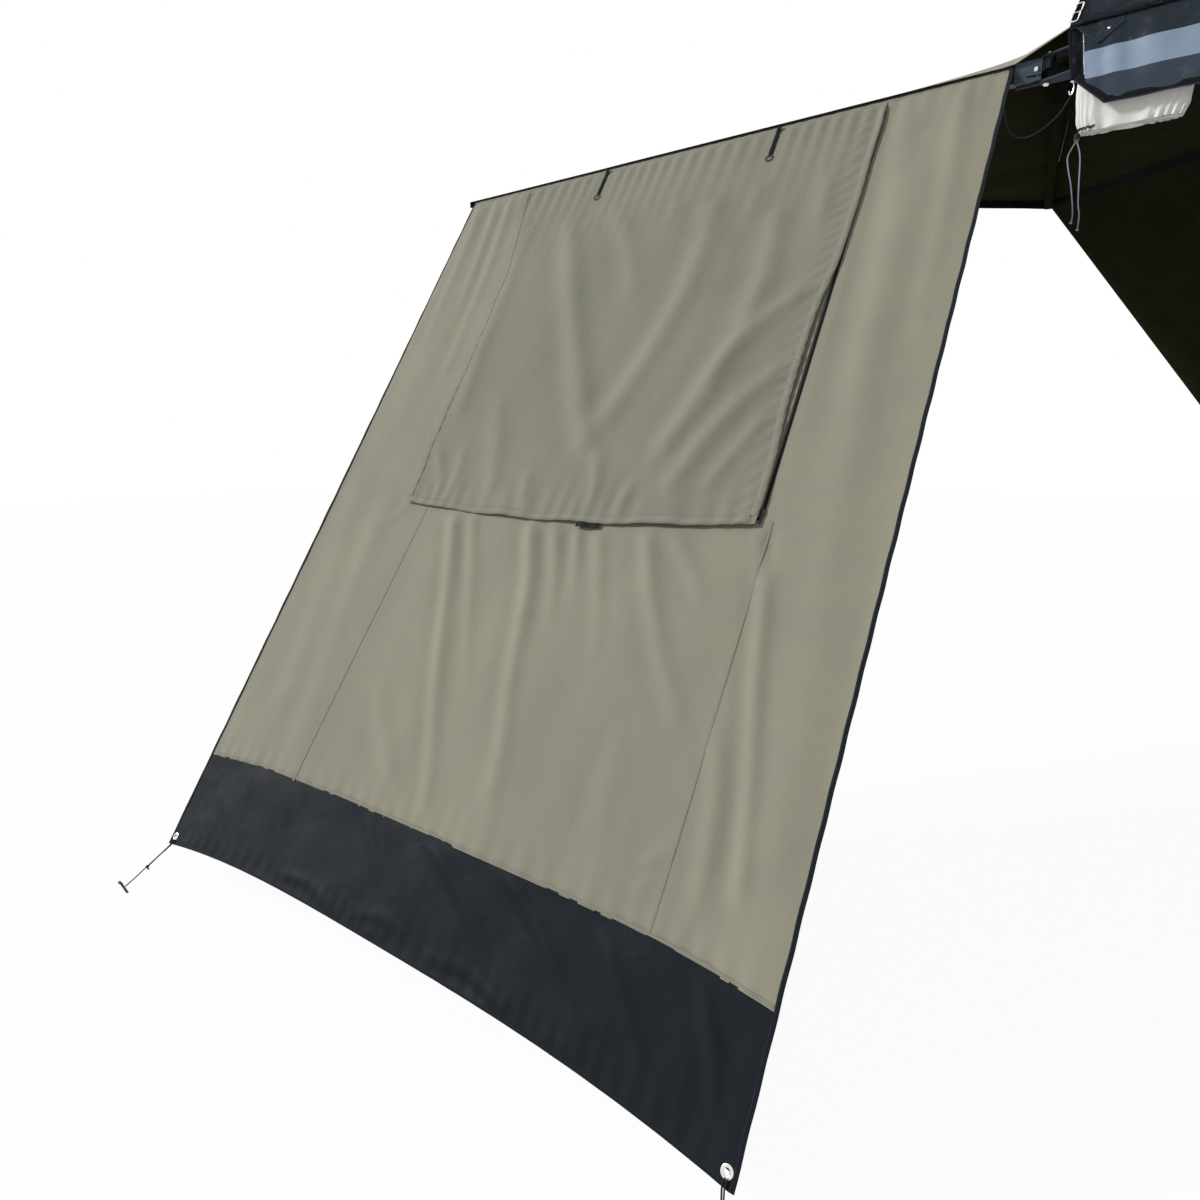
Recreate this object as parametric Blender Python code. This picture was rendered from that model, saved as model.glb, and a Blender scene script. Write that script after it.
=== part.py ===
# Fan awning for a vehicle's roof rack, set up with a sloping window wall on its near arm.
# Metres, +Z up. The hub's pivot is the middle of the working frame: +X runs along the rail,
# +Y under the canopy and +Z up, with z = 0 at the near wall's top edge.
# The finished model is moved so that its origin is the foot of the rear rack bracket.

import math

import bmesh
import bpy
from mathutils import Matrix, Vector

GAP = 0.0003  # left between pieces that touch
RUN = 0.0006  # clearance of a shank in its hole

# Hub: two plates with the pivot bolt between them
HUB_Z = -0.0145
HUB_HALF_GAP = 0.027
HUB_PLATE = 0.005
HUB_REACH = 0.018  # plate past the pivot
PIVOT_RADIUS = 0.004
PIVOT_HEAD_RADIUS = 0.0085
PIVOT_HEAD = 0.006
BARREL_RADIUS = 0.0085
BARREL_STEP = 0.0072  # height where the near arm's barrel narrows
BARREL_SPLIT = -0.0146  # height between the two barrels
COLLAR_RADIUS = 0.006

# Mounting rail and its rack brackets
RAIL_START = 0.075
RAIL_LENGTH = 2.15
RAIL_WIDTH = 0.038
RAIL_WALL = 0.003
RAIL_SLOT = 0.012
RAIL_CLEARANCE = 0.007  # between the rail and the folded far arm
RAIL_FIN = 0.003
RAIL_EDGE_HEIGHT = 0.0715
PLATE_ON_RAIL = 0.115
HUB_BOLT_RADIUS = 0.004
HUB_BOLT_HEAD_RADIUS = 0.0075
HUB_BOLT_HEAD = 0.005
HUB_BOLT_AT = 0.150
BRACKET_AT = (0.50, 1.72)  # along the rail, from the pivot
FOOT_WIDTH = 0.060
FOOT_LENGTH = 0.080
FOOT_THICK = 0.005
FOOT_SLOT_WIDTH = 0.0085
FOOT_SLOT_LENGTH = 0.030
RACK_BOLT_RADIUS = 0.004
RACK_BOLT_HEAD_RADIUS = 0.0068
RACK_BOLT_HEAD = 0.005
END_CAP = 0.004

# Arms. An offset is the tube's place beside the pivot's line, to the arm's left
TUBE_WIDTH = 0.030
TUBE_WALL = 0.002
TUBE_START = 0.032
KNUCKLE_PLATE = 0.003
ARM_BOLT_RADIUS = 0.004
ARM_BOLT_HEAD_RADIUS = 0.0064
ARM_BOLT_HEAD = 0.004
ARM_BOLT_AT = 0.0243
RIVET_HEAD_RADIUS = 0.0036
RIVET_HEAD = 0.0014
NEAR = {"angle": 180.0, "reach": 2.066, "side": 1, "offset": 0.0,
        "start": 0.0117, "length": 0.0755, "low": -0.0412, "high": 0.0100,
        "tube_low": -0.0360, "tube_high": 0.0040, "rise": 0.0, "bolt_z": -0.0141,
        "rivets": ((0.0690, -0.0064), (0.0655, -0.0278))}
FAR = {"angle": 97.55, "reach": 2.022, "side": -1, "offset": -0.0375,
       "start": 0.0125, "length": 0.0900, "low": -0.0412, "high": -0.0125,
       "tube_low": -0.0390, "tube_high": -0.0150, "rise": 0.165, "bolt_z": -0.0265,
       "rivets": ((0.0820, -0.0200), (0.0820, -0.0330))}
NECK_TOP = -0.0210
NECK_DEPTH = 0.0105
EAR_SIDE = 0.0095
EAR_WIDTH = 0.007
LOCK_SLOT = ((0.0470, -0.0265), (0.0105, -0.0275), (0.0105, -0.0335), (0.0455, -0.0310))
TIP_CAP = 0.004
TIP_PLUG = 0.020
TRACK_WIDTH = 0.004
TRACK_HEIGHT = 0.006
SLEEVE_WALL = 0.0015
SLEEVE_ROOM = 0.0006
SLEEVE_START = 0.22
SLEEVE_END_BACK = 0.042  # short of the far arm's tip
SLEEVE_WEB = 0.0025
WEB_ROOM = 0.0012

# Canopy
CANOPY_THICK = 0.0025
APEX = Vector((0.100, -0.052, 0.072))
CANOPY_KNEE_X = -0.079
CANOPY_PAST_NEAR = 0.054  # past the near arm's tip
CANOPY_PAST_FAR = 0.028  # past the far arm's tip
CANOPY_TIP_HEIGHT = 0.168
BAY_SEAM = 0.0006
HEM_BOW = 0.03
VALANCE_HEIGHT = 0.060
VALANCE_FOOT = 0.020  # its height at the near arm
VALANCE_THICK = 0.003
POST_RADIUS = 0.006
POST_DISC_RADIUS = 0.0115
POST_DISC = 0.003
POST_ROOM = 0.0020  # the canopy slopes down around its corner

# Near wall, measured down the slope from its top edge and across from its tip end
WALL_WIDTH = 2.016
WALL_LENGTH = 2.70
WALL_SLOPE = math.radians(56.5)
WALL_RIGHT = -0.078
FABRIC = 0.002
PIPING_RADIUS = 0.0035
BINDING_WIDTH = 0.010
BINDING_THICK = 0.0045
HEM_TAPE = 0.003
HEM_RISE = 0.053
SKIRT_HEIGHT = 0.297  # at the wall's sides
SKIRT_TOP = WALL_LENGTH - SKIRT_HEIGHT
SKIRT_RISE = 0.040
SEAM_LEFT_TOP = 0.600
SEAM_LEFT_LEAN = 0.0593
SEAM_RIGHT = 1.720
WINDOW_LEFT = 0.640
WINDOW_RIGHT = 1.660
WINDOW_BOTTOM = 1.352
COVER_TOP = 0.012
COVER_BOTTOM = 1.392
ZIP_WIDTH = 0.008
ZIP_THICK = 0.0025
ZIP_LEFT = 0.622
ZIP_RIGHT = 1.691
ZIP_TOP = 0.050
SLIDER_LENGTH = 0.014
SLIDER_WIDTH = 0.010
SLIDER_THICK = 0.003
SLIDER_TAB = 0.024
FLAP_TOP = 0.012
FLAP_HINGE = 0.0045  # height over the wall
FLAP_LEFT_TOP = 0.348
FLAP_LEFT_FOOT = 0.405
FLAP_RIGHT = 1.678
FLAP_FOOT = 1.414
FLAP_BELLY = 0.038
FLAP_UNDER = 0.0076
FLAP_HEADER = 0.020
FLAP_TAB_AT = 1.188
FLAP_TAB_WIDTH = 0.078
FLAP_TAB_LENGTH = 0.010
STRAP_AT = (0.700, 1.362)
STRAP_WIDTH = 0.016
STRAP_THICK = 0.0015
STRAP_FOOT = 0.137
RING_RADIUS = 0.0105
RING_WIRE = 0.0022
EYELET_INSET = 0.021
EYELET_RADIUS = 0.0125
EYELET_HOLE = 0.0060
EYELET_BARREL = 0.0082
EYELET_FLANGE = 0.0012

# Ground, guy ropes and pegs
GROUND_DROP = 0.110  # below the near wall's lower corners
PEG_OUT = 0.143  # from the hem's corner, away from the wall
PEG_LIFT = 0.022  # the peg's head over the ground
ROPE_DIAMETER = 0.0035
ROPE_OVER = 0.0015  # its rise over the hem's binding
ROPE_SLANT = 0.63  # sine of the angle at which a rope's end meets its peg
PEG_RADIUS = 0.0035
PEG_LENGTH = 0.20
PEG_HOOK = 0.014

# Far wall, hung from the canopy's front hem
FAR_WALL_SLOPE = WALL_SLOPE
FAR_WALL_SHIFT = 1.02

# Travel bag, peg bag and elastic cord. Its hub end leans: x grows by BAG_LEAN with each metre of height
BAG_END = 2.205
BAG_LEAN = 0.337
ROLL_START = 0.047
ROLL_DEPTH = 0.060
ROLL_HEIGHT = 0.140
ROLL_CORNER = 0.022
PVC = 0.003
PANEL_TOP = (0.050, 0.083, 0.031)  # left and right edge, height
PANEL_FOOT = (0.069, 0.0985, -0.0925)
COVER_CLEAR = 0.003
COVER_FOLD = -0.098
COVER_FOOT = -0.157
COVER_TUCK = 0.016
COVER_RIM = 0.046
COVER_NOTCH = 0.045
CORNER_FLAP = ((0.060, 0.027), (0.077, 0.014), (0.118, -0.0234),
               (0.129, -0.0187), (0.170, 0.012), (0.170, 0.027))
CORNER_FLAP_THICK = 0.002
BUCKLE_WIDTH = 0.020
BUCKLE_HEIGHT = 0.040
BUCKLE_BAR = 0.003
BUCKLE_AT = Vector((0.0695, 0, 0.0475))
BAG_STRAP_WIDTH = 0.013
PEG_BAG = ((0.076, -0.052), (0.076, -0.110), (0.082, -0.180), (0.092, -0.2065))
PEG_BAG_END = 0.33
PEG_BAG_SIDES = (-0.078, -0.018)
CORD_DIAMETER = 0.0032
LOCK_AT = Vector((0.0920, -0.0600, -0.2068))
LOCK_LENGTH = 0.013
LOCK_RADIUS = 0.0075
LOCK_BORE = 0.0043
DRAWCORD_LEFT = ((0.0769, -0.2546), (0.0799, -0.2824), (0.0920, -0.3321),
                 (0.1020, -0.3937), (0.1007, -0.4212))
DRAWCORD_RIGHT = ((0.1040, -0.2599), (0.1084, -0.3196), (0.1118, -0.3713),
                  (0.1174, -0.4021), (0.1172, -0.4406))
ELASTIC_DIAMETER = 0.0040
ELASTIC_AT = 0.156  # down the wall's hub edge
HOOK_LENGTH = 0.034
HOOK_WIDTH = 0.014
HOOK_WIRE = 0.0017
HOOK_X = 0.0725

SIDES = 16

far_reach = -FAR["offset"] + TUBE_WIDTH / 2 + GAP + KNUCKLE_PLATE
rail_far_face = -(far_reach + RAIL_CLEARANCE)
rail_near_face = rail_far_face - RAIL_WIDTH
rail_y = rail_far_face - RAIL_WIDTH / 2
rail_top = HUB_Z + HUB_HALF_GAP - GAP
rail_bottom = HUB_Z - HUB_HALF_GAP + GAP
upper_plate_top = HUB_Z + HUB_HALF_GAP + HUB_PLATE
lower_plate_bottom = HUB_Z - HUB_HALF_GAP - HUB_PLATE
bag_floor = upper_plate_top + GAP * 2 + HUB_BOLT_HEAD
cover_face = rail_near_face - GAP - COVER_CLEAR
track_out = TUBE_WIDTH / 2 + GAP + TRACK_WIDTH
wall_edge_y = -(track_out + GAP + PIPING_RADIUS)

wall_down = Vector((0, -math.cos(WALL_SLOPE), -math.sin(WALL_SLOPE)))
wall_out = Vector((0, -math.sin(WALL_SLOPE), math.cos(WALL_SLOPE)))
wall_corner = Vector((WALL_RIGHT - WALL_WIDTH, wall_edge_y, 0))
ground_z = -WALL_LENGTH * math.sin(WALL_SLOPE) - GROUND_DROP

foot_bottom = rail_bottom
foot_middle = Vector((BRACKET_AT[0], rail_near_face - GAP - FOOT_THICK - FOOT_LENGTH / 2, foot_bottom))


# Materials

def material(name, colour, roughness, metallic=0.0):
    made = bpy.data.materials.new(name)
    made.use_nodes = True
    shader = made.node_tree.nodes["Principled BSDF"]
    shader.inputs["Base Color"].default_value = (*colour, 1)
    shader.inputs["Roughness"].default_value = roughness
    shader.inputs["Metallic"].default_value = metallic
    return made


for old in list(bpy.data.objects):
    bpy.data.objects.remove(old)

khaki = material("khaki_canvas", (0.30, 0.29, 0.23), 0.8)
flap_khaki = material("flap_canvas", (0.27, 0.26, 0.21), 0.8)
black_canvas = material("black_canvas", (0.014, 0.02, 0.027), 0.75)
binding_black = material("binding_tape", (0.02, 0.026, 0.036), 0.7)
canopy_olive = material("canopy_canvas", (0.045, 0.042, 0.028), 0.85)
mesh_black = material("insect_mesh", (0.02, 0.02, 0.02), 0.8)
pvc = material("bag_pvc", (0.012, 0.017, 0.023), 0.4)
cream = material("cream_canvas", (0.78, 0.78, 0.75), 0.85)
steel = material("coated_steel", (0.065, 0.085, 0.115), 0.45, 0.6)
bright = material("plated_steel", (0.75, 0.75, 0.76), 0.25, 1.0)
alloy = material("black_alloy", (0.03, 0.035, 0.04), 0.4, 0.7)
plastic = material("black_plastic", (0.015, 0.016, 0.018), 0.5)
cord_black = material("black_cord", (0.02, 0.02, 0.025), 0.8)
cord_grey = material("grey_cord", (0.42, 0.48, 0.58), 0.8)


# Groups of pieces that move together, each on its joint's axis

frame_origin = bpy.data.objects.new("awning_frame", None)
bpy.context.scene.collection.objects.link(frame_origin)
frame_origin.location = -foot_middle


def group(name, place, parent=None):
    empty = bpy.data.objects.new(name, None)
    bpy.context.scene.collection.objects.link(empty)
    empty.parent = parent or frame_origin
    empty.location = place - (group_place[parent.name] if parent else Vector())
    group_place[name] = place
    return empty


group_place = {}
fixed = group("fixed", Vector())
near_arm = group("near_arm_axis", Vector((0, 0, HUB_Z)))
far_arm = group("far_arm_axis", Vector((0, 0, HUB_Z)))
wall_axis = group("wall_axis", Vector((WALL_RIGHT, wall_edge_y, 0)), near_arm)
flap_place = wall_corner + wall_down * FLAP_TOP + wall_out * FLAP_HINGE
flap_axis = group("flap_axis", flap_place, wall_axis)


def add(name, mesh_data, colour, holder, smooth=False):
    """Links the mesh as one named piece on its group's axis."""
    bmesh.ops.recalc_face_normals(mesh_data, faces=mesh_data.faces)
    data = bpy.data.meshes.new(name)
    mesh_data.to_mesh(data)
    mesh_data.free()
    data.transform(Matrix.Translation(-group_place[holder.name]))
    if smooth:
        data.shade_smooth()
        data.set_sharp_from_angle(angle=math.radians(35))
    data.materials.append(colour)
    piece = bpy.data.objects.new(name, data)
    bpy.context.scene.collection.objects.link(piece)
    piece.parent = holder
    return piece


def tool(name, mesh_data, holder):
    """A hidden shape that cuts a piece or is joined to it."""
    piece = add(name, mesh_data, plastic, holder)
    piece.hide_render = True
    piece.display_type = "WIRE"
    return piece


def combine(piece, other, how="DIFFERENCE"):
    step = piece.modifiers.new(other.name, "BOOLEAN")
    step.operation = how
    step.object = other


# Shapes

def prism(outline, along, into=None):
    """A flat outline pushed along a vector."""
    made = into or bmesh.new()
    low = [made.verts.new(p) for p in outline]
    high = [made.verts.new(Vector(p) + along) for p in outline]
    made.faces.new(list(reversed(low)))
    made.faces.new(high)
    for i in range(len(low)):
        j = (i + 1) % len(low)
        made.faces.new((low[i], low[j], high[j], high[i]))
    return made


def skin(made, a, b):
    for i in range(len(a)):
        j = (i + 1) % len(a)
        made.faces.new((a[i], a[j], b[j], b[i]))


def box(low, high, into=None):
    corners = [(low[0], low[1], low[2]), (high[0], low[1], low[2]),
               (high[0], high[1], low[2]), (low[0], high[1], low[2])]
    return prism([Vector(p) for p in corners], Vector((0, 0, high[2] - low[2])), into)


def circle(middle, across, up, radius, sides=SIDES):
    turn = [2 * math.pi * i / sides for i in range(sides)]
    return [middle + across * (radius * math.cos(a)) + up * (radius * math.sin(a)) for a in turn]


def sideways(direction):
    """Two unit vectors square to a direction."""
    direction = direction.normalized()
    helper = Vector((0, 0, 1)) if abs(direction.z) < 0.9 else Vector((1, 0, 0))
    across = direction.cross(helper).normalized()
    return across, across.cross(direction).normalized()


def rod(start, end, radius, sides=SIDES, into=None):
    start, end = Vector(start), Vector(end)
    across, up = sideways(end - start)
    return prism(circle(start, across, up, radius, sides), end - start, into)


def turned(start, direction, profile, sides=SIDES, into=None):
    """A solid of revolution: profile is a closed loop of (distance along, radius)."""
    made = into or bmesh.new()
    across, up = sideways(direction)
    direction = direction.normalized()
    rings = [[made.verts.new(p) for p in circle(start + direction * d, across, up, r, sides)]
             for d, r in profile]
    for a in range(len(rings)):
        b = (a + 1) % len(rings)
        for i in range(sides):
            j = (i + 1) % sides
            made.faces.new((rings[a][i], rings[a][j], rings[b][j], rings[b][i]))
    return made


def stepped(start, direction, steps, sides=SIDES, into=None):
    """A solid turned part, such as a bolt: steps are (distance along, radius) from end to end."""
    made = into or bmesh.new()
    across, up = sideways(direction)
    direction = direction.normalized()
    rings = [[made.verts.new(p) for p in circle(start + direction * d, across, up, r, sides)]
             for d, r in steps]
    made.faces.new(list(reversed(rings[0])))
    made.faces.new(rings[-1])
    for low, high in zip(rings, rings[1:]):
        for i in range(sides):
            j = (i + 1) % sides
            made.faces.new((low[i], low[j], high[j], high[i]))
    return made


def bar(line, radius, sides=SIDES, into=None):
    """Round bar along a bent line."""
    made = into or bmesh.new()
    rings = []
    for i, p in enumerate(line):
        ahead = (line[min(i + 1, len(line) - 1)] - line[max(i - 1, 0)]).normalized()
        across = ahead.cross(Vector((0, 1, 0)) if abs(ahead.y) < 0.9 else Vector((1, 0, 0))).normalized()
        rings.append([made.verts.new(q) for q in circle(p, across, ahead.cross(across), radius, sides)])
    made.faces.new(list(reversed(rings[0])))
    made.faces.new(rings[-1])
    for low, high in zip(rings, rings[1:]):
        for i in range(sides):
            j = (i + 1) % sides
            made.faces.new((low[i], low[j], high[j], high[i]))
    return made


def hoop(middle, across, up, radius, wire, sides=20, wire_sides=8, into=None):
    """A closed ring of round wire."""
    made = into or bmesh.new()
    normal = across.cross(up)
    rings = []
    for i in range(sides):
        a = 2 * math.pi * i / sides
        out = across * math.cos(a) + up * math.sin(a)
        points = circle(middle + out * radius, out, normal, wire, wire_sides)
        rings.append([made.verts.new(p) for p in points])
    for a in range(sides):
        b = (a + 1) % sides
        for i in range(wire_sides):
            j = (i + 1) % wire_sides
            made.faces.new((rings[a][i], rings[a][j], rings[b][j], rings[b][i]))
    return made


def sheet(rows, thick):
    """Fabric through rows of points, pushed along a vector. A row may start at a shared corner."""
    made = bmesh.new()
    known = {}

    def vertex(p):
        key = tuple(round(c, 6) for c in p)
        if key not in known:
            known[key] = made.verts.new(p)
        return known[key]

    top = [[vertex(Vector(p) + thick) for p in row] for row in rows]
    under = [[vertex(Vector(p)) for p in row] for row in rows]

    def face(corners):
        loop = [v for i, v in enumerate(corners) if v is not corners[i - 1]]
        if len(loop) > 2:
            made.faces.new(loop)

    for r in range(len(rows) - 1):
        for c in range(len(rows[0]) - 1):
            for layer in (top, under):
                quad = (layer[r][c], layer[r + 1][c], layer[r + 1][c + 1], layer[r][c + 1])
                face((quad[0], quad[1], quad[2]))
                face((quad[0], quad[2], quad[3]))
    last_row, last_column = len(rows) - 1, len(rows[0]) - 1
    for r in range(last_row):
        for c in (0, last_column):
            face((top[r][c], top[r + 1][c], under[r + 1][c], under[r][c]))
    for c in range(last_column):
        for r in (0, last_row):
            face((top[r][c], top[r][c + 1], under[r][c + 1], under[r][c]))
    return made


def smooth_points(route, spacing):
    """Points read from a smooth curve through the route's own points."""
    ends = [route[0] * 2 - route[1]] + list(route) + [route[-1] * 2 - route[-2]]
    found = []
    for a, b, c, d in zip(ends, ends[1:], ends[2:], ends[3:]):
        steps = max(1, round((c - b).length / spacing))
        for i in range(steps):
            t = i / steps
            found.append(0.5 * (2 * b + (c - a) * t + (2 * a - 5 * b + 4 * c - d) * t ** 2
                                + (3 * b - a - 3 * c + d) * t ** 3))
    return found + [route[-1]]


def line_cord(name, points, diameter, colour, holder):
    data = bpy.data.curves.new(name, "CURVE")
    data.dimensions = "3D"
    data.bevel_depth = diameter / 2
    data.bevel_resolution = 2
    data.use_fill_caps = True
    line = data.splines.new("POLY")
    line.points.add(len(points) - 1)
    for spot, p in zip(line.points, points):
        spot.co = (*(p - group_place[holder.name]), 1)
    data.materials.append(colour)
    piece = bpy.data.objects.new(name, data)
    bpy.context.scene.collection.objects.link(piece)
    piece.parent = holder


def cord(name, route, diameter, colour, holder, spacing):
    line_cord(name, smooth_points([Vector(p) for p in route], spacing), diameter, colour, holder)


# Mounting rail, its end cap, rack brackets and bolts

def rail():
    """A slotted channel. A fin along its top carries the canopy's inner edge."""
    low, high, wall = rail_bottom, rail_top, RAIL_WALL
    near, far = rail_near_face, rail_far_face
    slot_low, slot_high = HUB_Z - RAIL_SLOT / 2, HUB_Z + RAIL_SLOT / 2
    fin_top = RAIL_EDGE_HEIGHT - GAP
    section = [(near, slot_high), (near, high), (far - RAIL_FIN, high), (far - RAIL_FIN, fin_top),
               (far, fin_top), (far, low), (near, low), (near, slot_low),
               (near + wall, slot_low), (near + wall, low + wall), (far - wall, low + wall),
               (far - wall, high - wall), (near + wall, high - wall), (near + wall, slot_high)]
    outline = [Vector((RAIL_START, y, z)) for y, z in section]
    piece = add("mounting_rail", prism(outline, Vector((RAIL_LENGTH, 0, 0))), alloy, fixed)
    fin_gap = box((RAIL_START - 0.01, far - RAIL_FIN - 0.002, high),
                  (RAIL_START + PLATE_ON_RAIL + 0.004, far + 0.002, RAIL_EDGE_HEIGHT + 0.01))
    combine(piece, tool("rail_fin_gap", fin_gap, fixed))
    bore = rod((HUB_BOLT_AT, rail_y, low - 0.01), (HUB_BOLT_AT, rail_y, high + 0.01), HUB_BOLT_RADIUS + RUN)
    combine(piece, tool("rail_bore", bore, fixed))


def rail_end_cap():
    end = RAIL_START + RAIL_LENGTH + GAP
    box_low = Vector((end, rail_near_face, rail_bottom))
    box_high = Vector((end + END_CAP, rail_far_face, rail_top))
    add("rail_end_cap", box(box_low, box_high), plastic, fixed)


def rack_bracket(name, x):
    """An L of flat bar: one leg on the rail's slot, the other a slotted foot that points outwards."""
    near = rail_near_face - GAP
    left, right = x - FOOT_WIDTH / 2, x + FOOT_WIDTH / 2
    section = [(near, foot_bottom), (near, rail_top), (near - FOOT_THICK, rail_top),
               (near - FOOT_THICK, foot_bottom + FOOT_THICK),
               (near - FOOT_THICK - FOOT_LENGTH, foot_bottom + FOOT_THICK),
               (near - FOOT_THICK - FOOT_LENGTH, foot_bottom)]
    outline = [Vector((left, y, z)) for y, z in section]
    piece = add(name, prism(outline, Vector((right - left, 0, 0))), steel, fixed)
    for side in (-1, 1):
        middle_x = x + side * FOOT_WIDTH / 4
        middle = Vector((middle_x, foot_middle.y, foot_bottom))
        low = middle - Vector((FOOT_SLOT_WIDTH / 2, FOOT_SLOT_LENGTH / 2, 0.01))
        high = middle + Vector((FOOT_SLOT_WIDTH / 2, FOOT_SLOT_LENGTH / 2, 0.02))
        combine(piece, tool(f"{name}_slot_{side}", box(low, high), fixed))
    bore = rod((x, near - 0.02, HUB_Z), (x, near + 0.01, HUB_Z), RACK_BOLT_RADIUS + RUN)
    combine(piece, tool(f"{name}_bore", bore, fixed))


def rack_bolt(name, x):
    """A slot bolt: its head is on the bracket's leg and its square end is behind the rail's lips."""
    start = Vector((x, rail_near_face - GAP - FOOT_THICK - GAP - RACK_BOLT_HEAD, HUB_Z))
    nut = rail_near_face + RAIL_WALL + GAP - start.y
    head = RACK_BOLT_HEAD_RADIUS
    steps = [(0, head), (RACK_BOLT_HEAD, head), (RACK_BOLT_HEAD, RACK_BOLT_RADIUS),
             (nut, RACK_BOLT_RADIUS), (nut, head * 1.4), (nut + 0.004, head * 1.4)]
    add(name, stepped(start, Vector((0, 1, 0)), steps, 12), bright, fixed, True)


# Hub

def hub_plate(name, low):
    left, side = -HUB_REACH, PIVOT_RADIUS + 0.0095
    end = RAIL_START + PLATE_ON_RAIL
    plan = [(left + 0.004, -side), (0.056, -0.037), (RAIL_START + 0.002, rail_near_face),
            (end, rail_near_face), (end, rail_far_face), (0.128, rail_far_face), (0.120, -0.036),
            (0.050, side), (left + 0.006, side),
            (left, side * 0.6), (left, -side * 0.6)]
    piece = add(name, prism([Vector((x, y, low)) for x, y in plan], Vector((0, 0, HUB_PLATE))), steel, fixed)
    for tag, x, y, r in (("pivot", 0, 0, PIVOT_RADIUS), ("bolt", HUB_BOLT_AT, rail_y, HUB_BOLT_RADIUS)):
        bore = rod((x, y, low - 0.01), (x, y, low + HUB_PLATE + 0.01), r + RUN)
        combine(piece, tool(f"{name}_{tag}_bore", bore, fixed))


def hub_bolt():
    """Clamps the plates on the rail's end: head below, nut above."""
    start = lower_plate_bottom - GAP - HUB_BOLT_HEAD
    top = upper_plate_top + GAP - start
    head = HUB_BOLT_HEAD_RADIUS
    steps = [(0, head), (HUB_BOLT_HEAD, head), (HUB_BOLT_HEAD, HUB_BOLT_RADIUS),
             (top, HUB_BOLT_RADIUS), (top, HUB_BOLT_HEAD_RADIUS), (top + HUB_BOLT_HEAD, HUB_BOLT_HEAD_RADIUS)]
    made = stepped(Vector((HUB_BOLT_AT, rail_y, start)), Vector((0, 0, 1)), steps, 12)
    add("hub_bolt", made, bright, fixed, True)


def pivot():
    start = lower_plate_bottom - GAP - PIVOT_HEAD
    shank_end = upper_plate_top + GAP + PIVOT_HEAD + 0.003 - start
    head = PIVOT_HEAD_RADIUS
    steps = [(0, head * 0.72), (PIVOT_HEAD * 0.5, head), (PIVOT_HEAD, head),
             (PIVOT_HEAD, PIVOT_RADIUS), (shank_end, PIVOT_RADIUS)]
    add("pivot_bolt", stepped(Vector((0, 0, start)), Vector((0, 0, 1)), steps), bright, fixed, True)
    ring = [(0, PIVOT_RADIUS + GAP), (0, PIVOT_HEAD_RADIUS), (PIVOT_HEAD, PIVOT_HEAD_RADIUS),
            (PIVOT_HEAD, PIVOT_RADIUS + GAP)]
    nut = turned(Vector((0, 0, upper_plate_top + GAP)), Vector((0, 0, 1)), ring, SIDES)
    add("pivot_nut", nut, bright, fixed, True)


def apex_post():
    """The post on the hub that the canopy's inner corner rests on."""
    bottom = upper_plate_top + GAP
    top = APEX.z - POST_ROOM - bottom
    steps = [(0, POST_DISC_RADIUS), (POST_DISC, POST_DISC_RADIUS), (POST_DISC, POST_RADIUS),
             (top, POST_RADIUS * 0.6)]
    spot = Vector((APEX.x, APEX.y, bottom))
    add("apex_post", stepped(spot, Vector((0, 0, 1)), steps), steel, fixed, True)


# Arms, in a frame along the arm: x from the pivot, y to its left, z up

def arm_space(arm):
    return Matrix.Rotation(math.radians(arm["angle"]), 4, "Z")


def knuckle_sides(arm):
    """The channel's inner and outer face, beside the pivot's line."""
    half = TUBE_WIDTH / 2 + GAP + KNUCKLE_PLATE
    return arm["offset"] - arm["side"] * half, arm["offset"] + arm["side"] * half


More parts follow.
